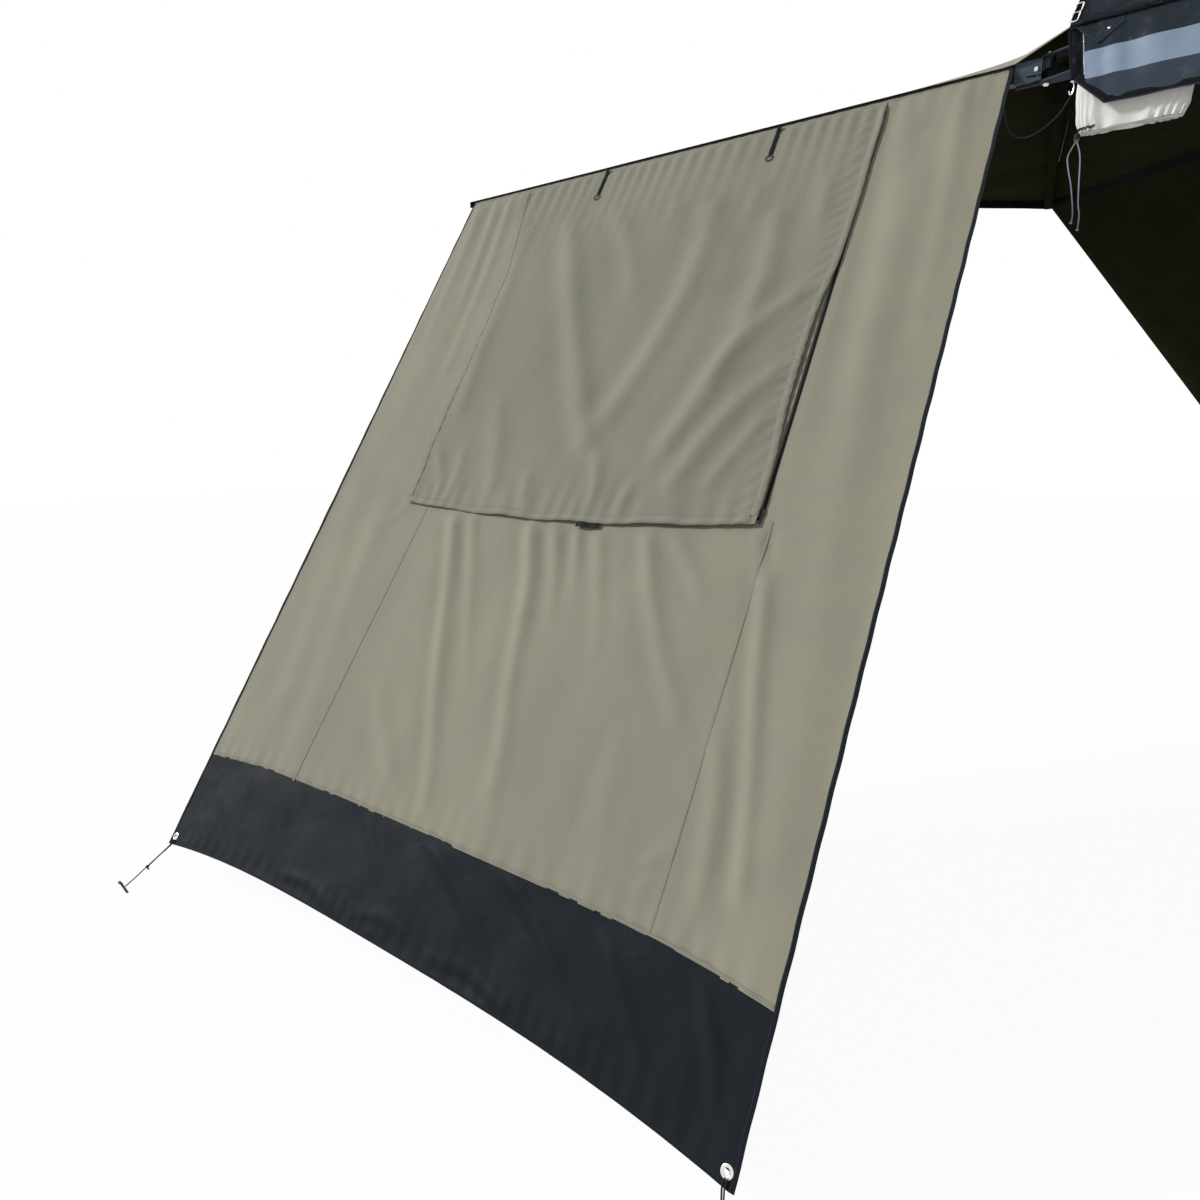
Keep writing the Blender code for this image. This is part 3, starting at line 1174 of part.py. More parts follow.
def drawcord():
    """One cord: up from its left end through the lock, round and down to its right end."""
    y, half = LOCK_AT.y, 0.0022
    bottom = LOCK_AT.z - LOCK_LENGTH

    def leg(x, points):
        """One end of the cord, from below the lock."""
        turns = [Vector((x, y, bottom - 0.006))] + [Vector((a, y, b)) for a, b in points]
        return smooth_points(turns, 0.009)

    left, right = leg(LOCK_AT.x - half, DRAWCORD_LEFT), leg(LOCK_AT.x + half, DRAWCORD_RIGHT)
    top = LOCK_AT.z - 0.0045
    turn = [Vector((LOCK_AT.x - half * math.cos(a), y, top + half * math.sin(a)))
            for a in (0, math.pi / 5, 2 * math.pi / 5, 3 * math.pi / 5, 4 * math.pi / 5, math.pi)]
    line_cord("drawcord", list(reversed(left)) + turn + right, CORD_DIAMETER, cord_grey, fixed)


# Elastic cord from the wall's hub edge to its hook on the bag's end panel

def hook_middle():
    return Vector((HOOK_X, rail_near_face - GAP - PVC / 2, PANEL_FOOT[2] - GAP - HOOK_LENGTH / 2))


def elastic_cord():
    start = on_wall(WALL_WIDTH, ELASTIC_AT, -FABRIC / 2) + Vector((GAP + ELASTIC_DIAMETER / 2, 0, 0))
    end = hook_middle() + Vector((0, 0, -HOOK_LENGTH / 2 - ELASTIC_DIAMETER / 2 - GAP))
    route = [start, start + Vector((0.016, 0.003, -0.050)), start + Vector((0.050, 0.005, -0.073)),
             start + Vector((0.089, 0.006, -0.063)), start + Vector((0.126, 0.007, -0.034)), end]
    cord("elastic_cord", route, ELASTIC_DIAMETER, cord_black, fixed, 0.009)


def cord_hook():
    """An open wire hook at the elastic cord's end."""
    middle = hook_middle()
    half_l, half_w = HOOK_LENGTH / 2 - HOOK_WIRE, HOOK_WIDTH / 2 - HOOK_WIRE
    line = [middle + Vector((math.cos(a) * half_w, 0, math.sin(a) * half_l))
            for a in (math.radians(d) for d in range(205, 481, 25))]
    add("cord_hook", bar(line, HOOK_WIRE, 8), bright, fixed, True)


rail()
rail_end_cap()
for side_name, x in zip(("rear", "front"), BRACKET_AT):
    rack_bracket(f"rack_bracket_{side_name}", x)
    rack_bolt(f"rack_bolt_{side_name}", x)
hub_plate("hub_plate_upper", HUB_Z + HUB_HALF_GAP)
hub_plate("hub_plate_lower", lower_plate_bottom)
hub_bolt()
pivot()
apex_post()

for prefix, arm, holder in (("near_arm", NEAR, near_arm), ("far_arm", FAR, far_arm)):
    knuckle(prefix, arm, holder)
    knuckle_bolt(prefix, arm, holder)
    arm_tube(prefix, arm, holder)
    tip_cap(prefix, arm, holder)
keder_track()
far_sleeve()
canopy()

wall_panels()
wall_skirt()
wall_edges()
window_zip()
storm_flap()
for side_name, u in zip(("left", "right"), STRAP_AT):
    roll_strap(side_name, u)
for side_name, u in (("left", ZIP_LEFT), ("right", ZIP_RIGHT)):
    zip_slider(f"zip_slider_{side_name}", u, wall_axis)
for side_name, u, lean in (("left", EYELET_INSET, -0.022), ("right", WALL_WIDTH - EYELET_INSET, 0.072)):
    eyelet(side_name, u)
    guy_rope(f"guy_rope_{side_name}", u, lean)
    peg(side_name, u, lean)
far_wall()

bag_roll()
bag_cover()
bag_end_panel()
bag_corner_flap()
bag_strap_and_buckle()
peg_bag()
drawcord()
elastic_cord()
cord_hook()
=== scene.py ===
import math

import bmesh
import bpy
import numpy as np
from mathutils import Matrix, Vector, noise


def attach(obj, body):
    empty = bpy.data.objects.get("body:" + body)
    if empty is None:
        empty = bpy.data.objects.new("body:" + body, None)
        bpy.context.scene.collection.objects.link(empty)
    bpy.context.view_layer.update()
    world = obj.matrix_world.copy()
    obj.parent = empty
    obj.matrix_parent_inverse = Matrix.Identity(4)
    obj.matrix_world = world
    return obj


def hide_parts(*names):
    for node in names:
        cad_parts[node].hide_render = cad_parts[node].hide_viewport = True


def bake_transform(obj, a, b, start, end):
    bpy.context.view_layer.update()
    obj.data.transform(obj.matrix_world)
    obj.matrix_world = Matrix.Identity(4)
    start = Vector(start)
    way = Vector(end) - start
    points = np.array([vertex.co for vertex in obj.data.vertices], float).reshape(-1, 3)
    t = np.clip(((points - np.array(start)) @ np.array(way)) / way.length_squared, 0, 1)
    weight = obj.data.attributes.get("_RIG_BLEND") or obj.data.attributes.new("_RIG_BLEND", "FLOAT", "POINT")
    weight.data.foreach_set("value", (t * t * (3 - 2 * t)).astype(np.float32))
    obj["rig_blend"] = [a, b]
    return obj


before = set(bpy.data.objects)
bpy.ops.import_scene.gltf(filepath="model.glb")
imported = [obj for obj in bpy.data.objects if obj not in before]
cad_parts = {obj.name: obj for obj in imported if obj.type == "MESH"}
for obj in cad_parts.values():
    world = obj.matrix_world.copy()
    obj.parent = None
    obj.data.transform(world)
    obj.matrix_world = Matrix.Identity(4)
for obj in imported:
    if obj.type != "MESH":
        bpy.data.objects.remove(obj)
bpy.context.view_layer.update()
print("frame loaded")


# Camera

view = {
    "place": (-0.12916, -2.38045, -0.93511),
    "tilt": 78.2315,
    "turn": 35.9715,
    "lens": 22.9106,
    "sensor": 36,
    "nearest": 0.02,
    "farthest": 100,
}
cameraData = bpy.data.cameras.new("camera")
cameraData.lens = view["lens"]
cameraData.sensor_width = view["sensor"]
cameraData.clip_start = view["nearest"]
cameraData.clip_end = view["farthest"]
camera = bpy.data.objects.new("camera", cameraData)
camera.location = view["place"]
camera.rotation_euler = (math.radians(view["tilt"]), 0, math.radians(view["turn"]))
bpy.context.scene.collection.objects.link(camera)
bpy.context.scene.camera = camera
bpy.context.scene.view_settings.view_transform = "Standard"


def deselect():
    if bpy.context.object and bpy.context.object.mode != "OBJECT":
        bpy.ops.object.mode_set(mode="OBJECT")
    for thing in bpy.context.selected_objects:
        thing.select_set(False)


def pick(thing):
    deselect()
    thing.select_set(True)
    bpy.context.view_layer.objects.active = thing


# Materials, with their shader maths as plain expressions

fullTurn = 2 * math.pi


class Amount:
    def __init__(self, finish, socket):
        self.finish, self.socket = finish, socket

    def __add__(self, other):
        return self.finish.maths("ADD", self, other)

    def __sub__(self, other):
        return self.finish.maths("SUBTRACT", self, other)

    def __mul__(self, other):
        return self.finish.maths("MULTIPLY", self, other)

    def __truediv__(self, other):
        return self.finish.maths("DIVIDE", self, other)


def tint(colour, share):
    return tuple(min(1.0, c * share) for c in colour)


class Finish:
    def __init__(self, name, roughness=0.7, metallic=0.0, sheen=0.0, specular=0.5):
        self.roughness = roughness
        self.material = bpy.data.materials.new(name)
        self.material.use_nodes = True
        self.tree = self.material.node_tree
        self.shader = self.tree.nodes["Principled BSDF"]
        for key, value in (("Roughness", roughness), ("Metallic", metallic), ("Sheen Weight", sheen),
                           ("Specular IOR Level", specular)):
            self.shader.inputs[key].default_value = value

    def node(self, kind, settings=None, values=None):
        made = self.tree.nodes.new("ShaderNode" + kind)
        for key, setting in (settings or {}).items():
            setattr(made, key, setting)
        for key, value in (values or {}).items():
            self.give(made.inputs[key], value)
        return made

    def give(self, socket, value):
        if isinstance(value, Amount):
            value = value.socket
        if isinstance(value, bpy.types.NodeSocket):
            self.tree.links.new(value, socket)
        elif isinstance(value, tuple) and len(socket.default_value) == 4 and len(value) == 3:
            socket.default_value = (*value, 1)
        else:
            socket.default_value = value

    def maths(self, operation, a, b=0.0):
        return Amount(self, self.node("Math", {"operation": operation}, {0: a, 1: b}).outputs[0])

    def size(self, value):
        return self.maths("ABSOLUTE", value)

    def wave(self, value, length):
        return self.maths("SINE", value * (fullTurn / length))

    def within(self, value, low, high, start=0.0, end=1.0):
        made = self.node("MapRange", {"interpolation_type": "SMOOTHSTEP"},
                         {"Value": value, "From Min": low, "From Max": high, "To Min": start, "To Max": end})
        return Amount(self, made.outputs["Result"])

    def worn(self, value, less, more, low=0.3, high=0.7):
        # the roughness, a little less and a little more by turns
        return self.within(value, low, high, self.roughness - less, self.roughness + more)

    def place(self, scale=(1, 1, 1)):
        source = self.node("TexCoord").outputs["Object"]
        return self.node("Mapping", None, {"Vector": source, "Scale": scale}).outputs["Vector"]

    def cloth(self, scale=(1, 1, 1)):
        source = self.node("UVMap", {"uv_map": "cloth"}).outputs["UV"]
        return self.node("Mapping", None, {"Vector": source, "Scale": scale}).outputs["Vector"]

    def clothParts(self):
        made = self.node("SeparateXYZ", None, {"Vector": self.cloth()})
        return Amount(self, made.outputs["X"]), Amount(self, made.outputs["Y"])

    def grain(self, vector, scale, detail=3.0, roughness=0.5, distortion=0.0, kind="FBM"):
        made = self.node("TexNoise", {"noise_type": kind},
                         {"Vector": vector, "Scale": scale, "Detail": detail, "Roughness": roughness,
                          "Distortion": distortion})
        return Amount(self, made.outputs[0])

    def blend(self, amount, a, b):
        return self.node("Mix", {"data_type": "RGBA"}, {0: amount, 6: a, 7: b}).outputs[2]

    def shades(self, amount, colour, darker, lighter):
        return self.blend(amount, tint(colour, darker), tint(colour, lighter))

    def bump(self, height, distance, strength=1.0, under=None):
        values = {"Height": height, "Distance": distance, "Strength": strength}
        if under is not None:
            values["Normal"] = under
        return self.node("Bump", None, values).outputs["Normal"]

    def wear(self, colour, roughness, normal, alpha=None):
        for key, value in (("Base Color", colour), ("Roughness", roughness), ("Normal", normal),
                           ("Alpha", alpha)):
            if value is not None:
                self.give(self.shader.inputs[key], value)
        return self.material


def canvas(name, colour, roughness=0.82, weave=0.0013, relief=0.00022, mottle=0.10, creases=0.0011,
           specular=0.3, slub=0.5, warm=None):
    made = Finish(name, roughness, specular=specular)
    flat = made.cloth()
    u, v = made.clothParts()
    threads = made.wave(u, weave) * made.wave(v, weave) * 0.5 + 0.5
    slubs = made.grain(made.cloth((900, 26, 1)), 1.0, 2.0) * 0.5
    slubs += made.grain(made.cloth((26, 900, 1)), 1.0, 2.0) * 0.5
    cloud = made.grain(flat, 1.7, 4.0, 0.55)
    handled = made.grain(flat, 9.0, 5.0, 0.6)
    lightness = made.within(slubs, 0.3, 0.7, 0.5 - slub * 0.5, 0.5 + slub * 0.5)
    tone = made.within(cloud * 0.65 + handled * 0.35, 0.32, 0.68)
    base = made.blend(tone, tint(colour, 1 - mottle), tint(warm or colour, 1 + mottle))
    base = made.blend(lightness, made.blend(0.10, base, (0, 0, 0)), base)
    base = made.blend(threads * 0.12, base, tint(colour, 0.55))
    crumple = made.grain(made.cloth((1, 0.6, 1)), 7.5, 4.0, 0.55, 0.6, "RIDGED_MULTIFRACTAL")
    soft = made.grain(flat, 14.0, 3.0, 0.5, 0.4)
    folded = made.bump(crumple * 0.4 + soft, creases, 0.8)
    return made.wear(base, made.worn(handled, 0.06, 0.06),
                     made.bump(threads * 0.6 + slubs, relief, 0.7, folded))


def stitchedTape(name, colour, thread, width, pitch=0.0042, rib=0.0011, inset=0.0016, specular=0.12):
    # cloth coordinates run along the tape and across it, from its middle
    made = Finish(name, 0.75, sheen=0.05, specular=specular)
    along, across = made.clothParts()
    ribs = made.wave(along + across * 0.6, rib) * 0.5 + 0.5
    fuzz = made.grain(made.cloth((600, 600, 1)), 1.0, 3.0)
    onLine = made.within(made.size(made.size(across) - (width / 2 - inset)), 0.0003, 0.0007, 1.0, 0.0)
    dash = made.within(made.size(made.maths("FRACT", along / pitch) - 0.5), 0.30, 0.40, 1.0, 0.0)
    stitch = onLine * dash
    body = made.shades(fuzz, colour, 0.8, 1.25)
    body = made.blend(ribs * 0.25, body, tint(colour, 0.5))
    dip = made.bump(onLine * -0.6 + stitch, 0.0006)
    return made.wear(made.blend(stitch, body, thread), made.worn(fuzz, 0.08, 0.08, 0.2, 0.8),
                     made.bump(ribs * 0.7 + fuzz * 0.5, 0.00018, 0.7, dip))


def coatedCloth(name, colour, roughness=0.42, creases=0.0016, dusty=(0.55, 0.58, 0.62), specular=0.22):
    made = Finish(name, roughness, specular=specular)
    flat = made.cloth()
    u, v = made.clothParts()
    grid = made.wave(u, 0.0011) * made.wave(v, 0.0011) * 0.5 + 0.5
    crumple = made.grain(flat, 11.0, 4.0, 0.5, 0.5, "RIDGED_MULTIFRACTAL")
    dust = made.grain(flat, 22.0, 6.0, 0.65)
    cloud = made.grain(flat, 3.0, 3.0)
    body = made.shades(made.within(cloud, 0.35, 0.65), colour, 0.82, 1.22)
    body = made.blend(made.within(dust, 0.55, 0.8, 0.0, 0.10), body, dusty)
    folded = made.bump(crumple * 0.6 + cloud, creases, 0.8)
    return made.wear(body, made.worn(dust, 0.10, 0.14, 0.3, 0.75), made.bump(grid, 0.00008, 0.6, folded))


def braid(name, colour, fleck, radius, lays=0.006):
    # cloth coordinates are the length along the cord and the turn round it
    made = Finish(name, 0.75, sheen=0.05, specular=0.15)
    along, turned = made.clothParts()
    right, left = made.wave(along / lays + turned * 3, 1), made.wave(along / lays - turned * 3, 1)
    strands = made.maths("MAXIMUM", right, left) * 0.5 + 0.5
    fuzz = made.grain(made.cloth((900, 8, 1)), 1.0, 2.0)
    body = made.blend(made.within(fuzz, 0.55, 0.75, 0.0, 0.5), made.shades(strands, colour, 0.45, 1), fleck)
    return made.wear(body, made.worn(fuzz, 0.08, 0.08), made.bump(strands + fuzz * 0.3, radius * 0.35, 0.8))


def powderCoat(name, colour, roughness=0.45, chips=0.06, specular=0.25):
    made = Finish(name, roughness, specular=specular)
    spot = made.place()
    peel = made.grain(spot, 1500, 2.0)
    cloud = made.grain(spot, 18, 4.0)
    rubbed = made.grain(spot, 75, 6.0, 0.7)
    scratch = made.grain(made.place((30, 900, 120)), 1.0, 3.0, 0.6)
    bare = made.within(rubbed * 0.7 + scratch * 0.3, 0.66, 0.72, 0.0, chips * 6)
    body = made.blend(bare, made.shades(made.within(cloud, 0.3, 0.7), colour, 0.82, 1.2), (0.32, 0.33, 0.34))
    return made.wear(body, made.worn(cloud, 0.06, 0.1), made.bump(peel + scratch * 0.2, 0.00012, 0.5))


def bareMetal(name, colour, roughness=0.28, brushed=(20, 900, 900), tarnish=0.12, metallic=1.0):
    made = Finish(name, roughness, metallic)
    brush = made.grain(made.place(brushed), 1.0, 4.0, 0.6)
    cloud = made.grain(made.place(), 60, 4.0)
    fine = made.grain(made.place(), 420, 3.0)
    body = made.shades(made.within(cloud, 0.35, 0.7), colour, 1, 1 - tarnish)
    body = made.blend(made.within(fine, 0.6, 0.8, 0.0, 0.35), body, tint(colour, 0.6))
    return made.wear(body, made.worn(brush * 0.6 + cloud * 0.4, 0.08, 0.14),
                     made.bump(brush + fine * 0.4, 0.00005, 0.5))


def mouldedPlastic(name, colour, roughness=0.5):
    made = Finish(name, roughness, specular=0.2)
    spot = made.place()
    cloud = made.grain(spot, 40, 4.0)
    body = made.shades(made.within(cloud, 0.35, 0.7), colour, 0.85, 1.5)
    return made.wear(body, made.worn(cloud, 0.07, 0.12), made.bump(made.grain(spot, 2200, 2.0), 0.0001, 0.5))


def insectMesh(name, colour, hole=0.0016):
    made = Finish(name, 0.7, specular=0.3)
    bars = [made.within(made.size(made.maths("FRACT", part / hole) - 0.5), 0.30, 0.36)
            for part in made.clothParts()]
    thread = made.maths("MAXIMUM", *bars)
    cloud = made.grain(made.cloth(), 5.0, 3.0)
    return made.wear(made.shades(cloud, colour, 0.6, 1.4), made.worn(cloud, 0.1, 0.1),
                     made.bump(thread, 0.0002, 0.6), made.within(thread, 0, 1, 0.55, 1.0))


khaki = (0.262, 0.253, 0.197)
finishes = {
    "wall": canvas("wallCanvas", khaki, warm=(0.276, 0.262, 0.199), mottle=0.05, creases=0.0028,
                   specular=0.2),
    "flap": canvas("flapCanvas", (0.230, 0.225, 0.178), creases=0.0030, relief=0.0002, mottle=0.07,
                   specular=0.2),
    "canopyTop": canvas("canopyTopCanvas", (0.34, 0.325, 0.268), creases=0.0020, mottle=0.06, specular=0.2),
    # the canopy's underside is its canvas painted near black: painted shade under the canopy
    "canopyUnder": canvas("canopyUnderPaintedShade", (0.0185, 0.0180, 0.0098), 0.9, creases=0.0026, slub=0.9,
                          mottle=0.22, specular=0.0),
    # the far wall's inner side is its canvas painted near black: painted shade inside the awning
    "farInner": canvas("farWallInnerPaintedShade", (0.0160, 0.0156, 0.0085), 0.9, creases=0.0022, mottle=0.2,
                       specular=0.0),
    "skirt": canvas("skirtCloth", (0.0072, 0.0104, 0.0146), 0.62, weave=0.0009, relief=0.0001, creases=0.0040,
                    specular=0.09, mottle=0.25, slub=0.25),
    # the arm sleeve is the canopy canvas painted near black: painted shade under the canopy
    "sleeve": canvas("sleevePaintedShade", (0.0130, 0.0126, 0.0070), 0.9, creases=0.0016, specular=0.0),
    "cream": canvas("creamCotton", (0.80, 0.79, 0.74), 0.88, weave=0.0010, creases=0.0026, mottle=0.05),
    "mesh": insectMesh("windowMesh", (0.02, 0.02, 0.02)),
    "seam": stitchedTape("wallSeam", (0.246, 0.238, 0.185), (0.19, 0.184, 0.145), 0.008, 0.0045, 0.0013),
    "flapHem": stitchedTape("flapHemTape", (0.232, 0.226, 0.182), (0.16, 0.155, 0.125), 0.022, rib=0.0013,
                            inset=0.0025),
    "binding": stitchedTape("bindingTape", (0.0075, 0.0100, 0.0140), (0.03, 0.038, 0.048), 0.010, inset=0.002,
                            specular=0.08),
    "blackTape": stitchedTape("blackTape", (0.0055, 0.0060, 0.0075), (0.02, 0.02, 0.025), 0.010),
    "webbing": stitchedTape("strapWebbing", (0.0046, 0.0056, 0.0074), (0.02, 0.025, 0.03), 0.016, rib=0.0016,
                            specular=0.05),
    "slate": stitchedTape("slateWebbing", (0.030, 0.042, 0.068), (0.10, 0.12, 0.16), 0.007, rib=0.0016),
    "bag": coatedCloth("bagCloth", (0.0082, 0.0148, 0.0222), 0.40, 0.0034),
    "bagPanel": coatedCloth("bagPanelCloth", (0.0028, 0.0046, 0.0070), 0.55, 0.0020, specular=0.06),
    "lining": coatedCloth("bagLining", (0.200, 0.255, 0.335), 0.45, 0.0040, (0.12, 0.16, 0.21)),
    # a darker copy of the lining for the lid's lower facet below the fold: painted shade
    "liningPaintedShade": coatedCloth("bagLiningPaintedShade", (0.040, 0.052, 0.072), 0.50, 0.0040, specular=0.12),
    "paleCord": braid("paleCord", (0.30, 0.36, 0.46), (0.55, 0.60, 0.68), 0.0016, 0.007),
    "blackCord": braid("blackCord", (0.016, 0.017, 0.020), (0.05, 0.05, 0.06), 0.002),
    # the hub plates take a darker copy of the knuckle paint: painted shade on the plates' shaded faces
    "hub": powderCoat("hubPaintedShade", (0.036, 0.047, 0.063), 0.55, specular=0.03),
    "knuckle": powderCoat("knucklePaint", (0.050, 0.067, 0.092), 0.48, specular=0.16),
    # a near-black copy of the knuckle paint for the far knuckle, far arm tube and post: painted shade
    "farKnuckle": powderCoat("farKnucklePaintedShade", (0.0070, 0.0072, 0.0068), 0.8, chips=0.0, specular=0.0),
    "bracket": powderCoat("bracketPaint", (0.016, 0.018, 0.020), 0.5),
    "rail": bareMetal("railAnodising", (0.055, 0.060, 0.066), 0.45, (8, 900, 900), metallic=0.6),
    "arm": bareMetal("armAnodising", (0.014, 0.017, 0.021), 0.50, (8, 900, 900), metallic=0.4),
    "bolt": bareMetal("boltPlating", (0.72, 0.72, 0.70), 0.24, (300, 300, 300)),
    "nickel": bareMetal("nickelPlating", (0.78, 0.77, 0.74), 0.16, (260, 260, 260), tarnish=0.08),
    "galvanised": bareMetal("galvanisedSteel", (0.070, 0.072, 0.076), 0.5, (160, 160, 160), tarnish=0.3),
    "gunmetal": bareMetal("gunmetalPlating", (0.040, 0.043, 0.048), 0.38, (260, 260, 260)),
    "plastic": mouldedPlastic("blackPlastic", (0.010, 0.010, 0.011)),
}

nodeNames = {
    "rail": "mounting_rail",
    "plastic": "rail_end_cap far_arm_tip_cap near_arm_tip_cap cord_lock",
    # the hub plates take the painted-shade copy of the knuckle paint
    "hub": "hub_plate_upper hub_plate_lower",
    "bolt": "hub_bolt pivot_bolt pivot_nut rack_bolt_rear rack_bolt_front far_arm_knuckle_bolt "
            "near_arm_knuckle_bolt",
    "bracket": "rack_bracket_rear rack_bracket_front",
    # painted shade: these parts sit in shade under the canopy
    "farKnuckle": "far_arm_knuckle far_arm_tube apex_post",
    "knuckle": "near_arm_knuckle",
    "arm": "near_arm_tube near_arm_track",
    "nickel": "cord_hook eyelet_left eyelet_right bag_buckle",
    "gunmetal": "zip_slider_left zip_slider_right",
    "galvanised": "peg_left peg_right",
}
for finishName, names in nodeNames.items():
    for nodeName in names.split():
        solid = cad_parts[nodeName]
        solid.data.materials.clear()
        solid.data.materials.append(finishes[finishName])
print("materials made")


# Shared ways of making cloth and cord

sharpTurn = math.radians(50)


def asPiece(name, data, body, slotName, replaced=None):
    piece = bpy.data.objects.new(name, data)
    bpy.context.scene.collection.objects.link(piece)
    if body:
        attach(piece, body)
    if replaced:
        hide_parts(replaced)
    return piece


def clothFrom(name, places, flats, thickness, front, back=None, skip=None, body=None, slotName="wall_canvas",
              replaced=None, rim=0):
    # places is rows by columns by xyz, and flats holds the same points' cloth coordinates in metres
    rows, columns = places.shape[:2]
    index = np.arange(rows * columns).reshape(rows, columns)
    quads = np.stack([index[:-1, :-1], index[1:, :-1], index[1:, 1:], index[:-1, 1:]], -1).reshape(-1, 4)
    flat = flats.reshape(-1, 2)
    if skip:
        middle = (flat[quads[:, 0]] + flat[quads[:, 2]]) / 2
        quads = quads[~skip(middle[:, 0], middle[:, 1])]
    one, other = flat[quads[:, 2]] - flat[quads[:, 0]], flat[quads[:, 3]] - flat[quads[:, 1]]
    data = bpy.data.meshes.new(name)
    data.from_pydata(places.reshape(-1, 3).tolist(), [], quads.tolist())
    layer = data.uv_layers.new(name="cloth")
    order = np.zeros(len(data.loops), dtype=np.int32)
    data.loops.foreach_get("vertex_index", order)
    layer.data.foreach_set("uv", flat[order].astype(np.float32).ravel())
    data.materials.append(finishes[front])
    data.materials.append(finishes[back or front])
    piece = asPiece(name, data, None, slotName)
    solid = piece.modifiers.new("thickness", "SOLIDIFY")
    solid.thickness, solid.offset = thickness, 0
    solid.material_offset, solid.material_offset_rim = 1, rim
    pick(piece)
    bpy.ops.object.modifier_apply(modifier=solid.name)
    mesh = bmesh.new()
    mesh.from_mesh(piece.data)
    loose = [v for v in mesh.verts if not v.link_faces]
    bmesh.ops.delete(mesh, geom=loose, context="VERTS")
    mesh.to_mesh(piece.data)
    mesh.free()
    piece.data.shade_smooth()
    piece.data.set_sharp_from_angle(angle=sharpTurn)
    if body:
        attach(piece, body)
    if replaced:
        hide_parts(replaced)
    piece["flatArea"] = 0.5 * float(np.abs(one[:, 0] * other[:, 1] - one[:, 1] * other[:, 0]).sum())
    return piece


def clothGrid(rows, columns, spotAt):
    # spotAt gives the place and the cloth coordinates for a row and a column
    spots = [[spotAt(r, c) for c in range(columns + 1)] for r in range(rows + 1)]
    return tuple(np.array([[tuple(spot[part]) for spot in row] for row in spots]) for part in (0, 1))


def turnFront(piece, direction):
    # the first material goes on the side that faces the direction
    faces = piece.data.polygons
    if sum(p.normal.dot(direction) * p.area for p in faces if p.material_index == 0) < 0:
        for p in faces:
            p.material_index = 1 - p.material_index


def reliefOf(u, v, folds, spread=1.0):
    # each fold is a line over the cloth with its width, its height at the start and its height at the end
    total = np.zeros_like(u)
    for line, width, first, last in folds:
        points = np.array(line, dtype=float)
        lengths = np.linalg.norm(points[1:] - points[:-1], axis=1)
        whole, done = lengths.sum(), 0.0
        best = np.full_like(u, 1e9)
        along, signed = np.zeros_like(u), np.zeros_like(u)
        for a, b, length in zip(points, points[1:], lengths):
            step = b - a
            share = np.clip(((u - a[0]) * step[0] + (v - a[1]) * step[1]) / (length * length), 0, 1)
            du, dv = u - a[0] - share * step[0], v - a[1] - share * step[1]
            gap = du * du + dv * dv
            side = np.where(step[0] * dv - step[1] * du < 0, -1.0, 1.0)
            better = gap < best
            best = np.where(better, gap, best)
            along = np.where(better, (done + share * length) / whole, along)
            signed = np.where(better, side, signed)
            done += length
        away = np.sqrt(best) * signed / (width * spread)
        fade = np.clip(np.minimum(along, 1 - along) * whole / 0.05, 0, 1)
        ridge = (np.exp(-away ** 2) - 0.42 * np.exp(-((away - 1.7) / 1.2) ** 2)) * (0.25 + 0.75 * fade)
        total += ridge * (first + (last - first) * along)
    return total


def ripple(u, v, waves):
    # soft unevenness from a few crossing waves: wavelengths, phase and height
    total = np.zeros_like(u)
    for lengthU, lengthV, phase, height in waves:
        total += height * np.sin(2 * math.pi * (u / lengthU + v / lengthV) + phase)
    return total


def easeIn(value, low, high):
    share = np.clip((value - low) / (high - low), 0, 1)
    return share * share * (3 - 2 * share)


def smoothRoute(route, spacing):
    route = [Vector(p) for p in route]
    ends = [route[0] * 2 - route[1]] + route + [route[-1] * 2 - route[-2]]
    found = []
    for a, b, c, d in zip(ends, ends[1:], ends[2:], ends[3:]):
        count = max(1, round((c - b).length / spacing))
        for i in range(count):
            t = i / count
            found.append(0.5 * (2 * b + (c - a) * t + (2 * a - 5 * b + 4 * c - d) * t ** 2
                                + (3 * b - a - 3 * c + d) * t ** 3))
    return found + [route[-1]]


def routeLength(route):
    return sum((b - a).length for a, b in zip(route, route[1:]))


def marksAlong(route):
    marks = [0.0]
    for a, b in zip(route, route[1:]):
        marks.append(marks[-1] + (b - a).length)
    return marks


def skinRings(rings, along, around, closed=False, capped=True):
    # faces through rings of points. along has a mark per ring, and around has each ring's marks, with one
    # more where the row closes on itself
    made = bmesh.new()
    layer = made.loops.layers.uv.new("cloth")
    levels = [[made.verts.new(p) for p in ring] for ring in rings]
    count = len(levels[0])
    for a in range(len(levels) if closed else len(levels) - 1):
        ring, after, marks = levels[a], levels[(a + 1) % len(levels)], around[a]
        for k in range(count):
            j = (k + 1) % count
            face = made.faces.new((ring[k], ring[j], after[j], after[k]))
            face.smooth = True
            for corner, uv in zip(face.loops, ((along[a], marks[k]), (along[a], marks[k + 1]),
                                               (along[a + 1], marks[k + 1]), (along[a + 1], marks[k]))):
                corner[layer].uv = uv
    if capped:
        made.faces.new(list(reversed(levels[0])))
        made.faces.new(levels[-1])
    return made, levels, layer


def meshFrom(made, name, finish, sharp=None):
    bmesh.ops.recalc_face_normals(made, faces=made.faces)
    data = bpy.data.meshes.new(name)
    made.to_mesh(data)
    made.free()
    if sharp:
        data.set_sharp_from_angle(angle=sharp)
    data.materials.append(finishes[finish])
    return data


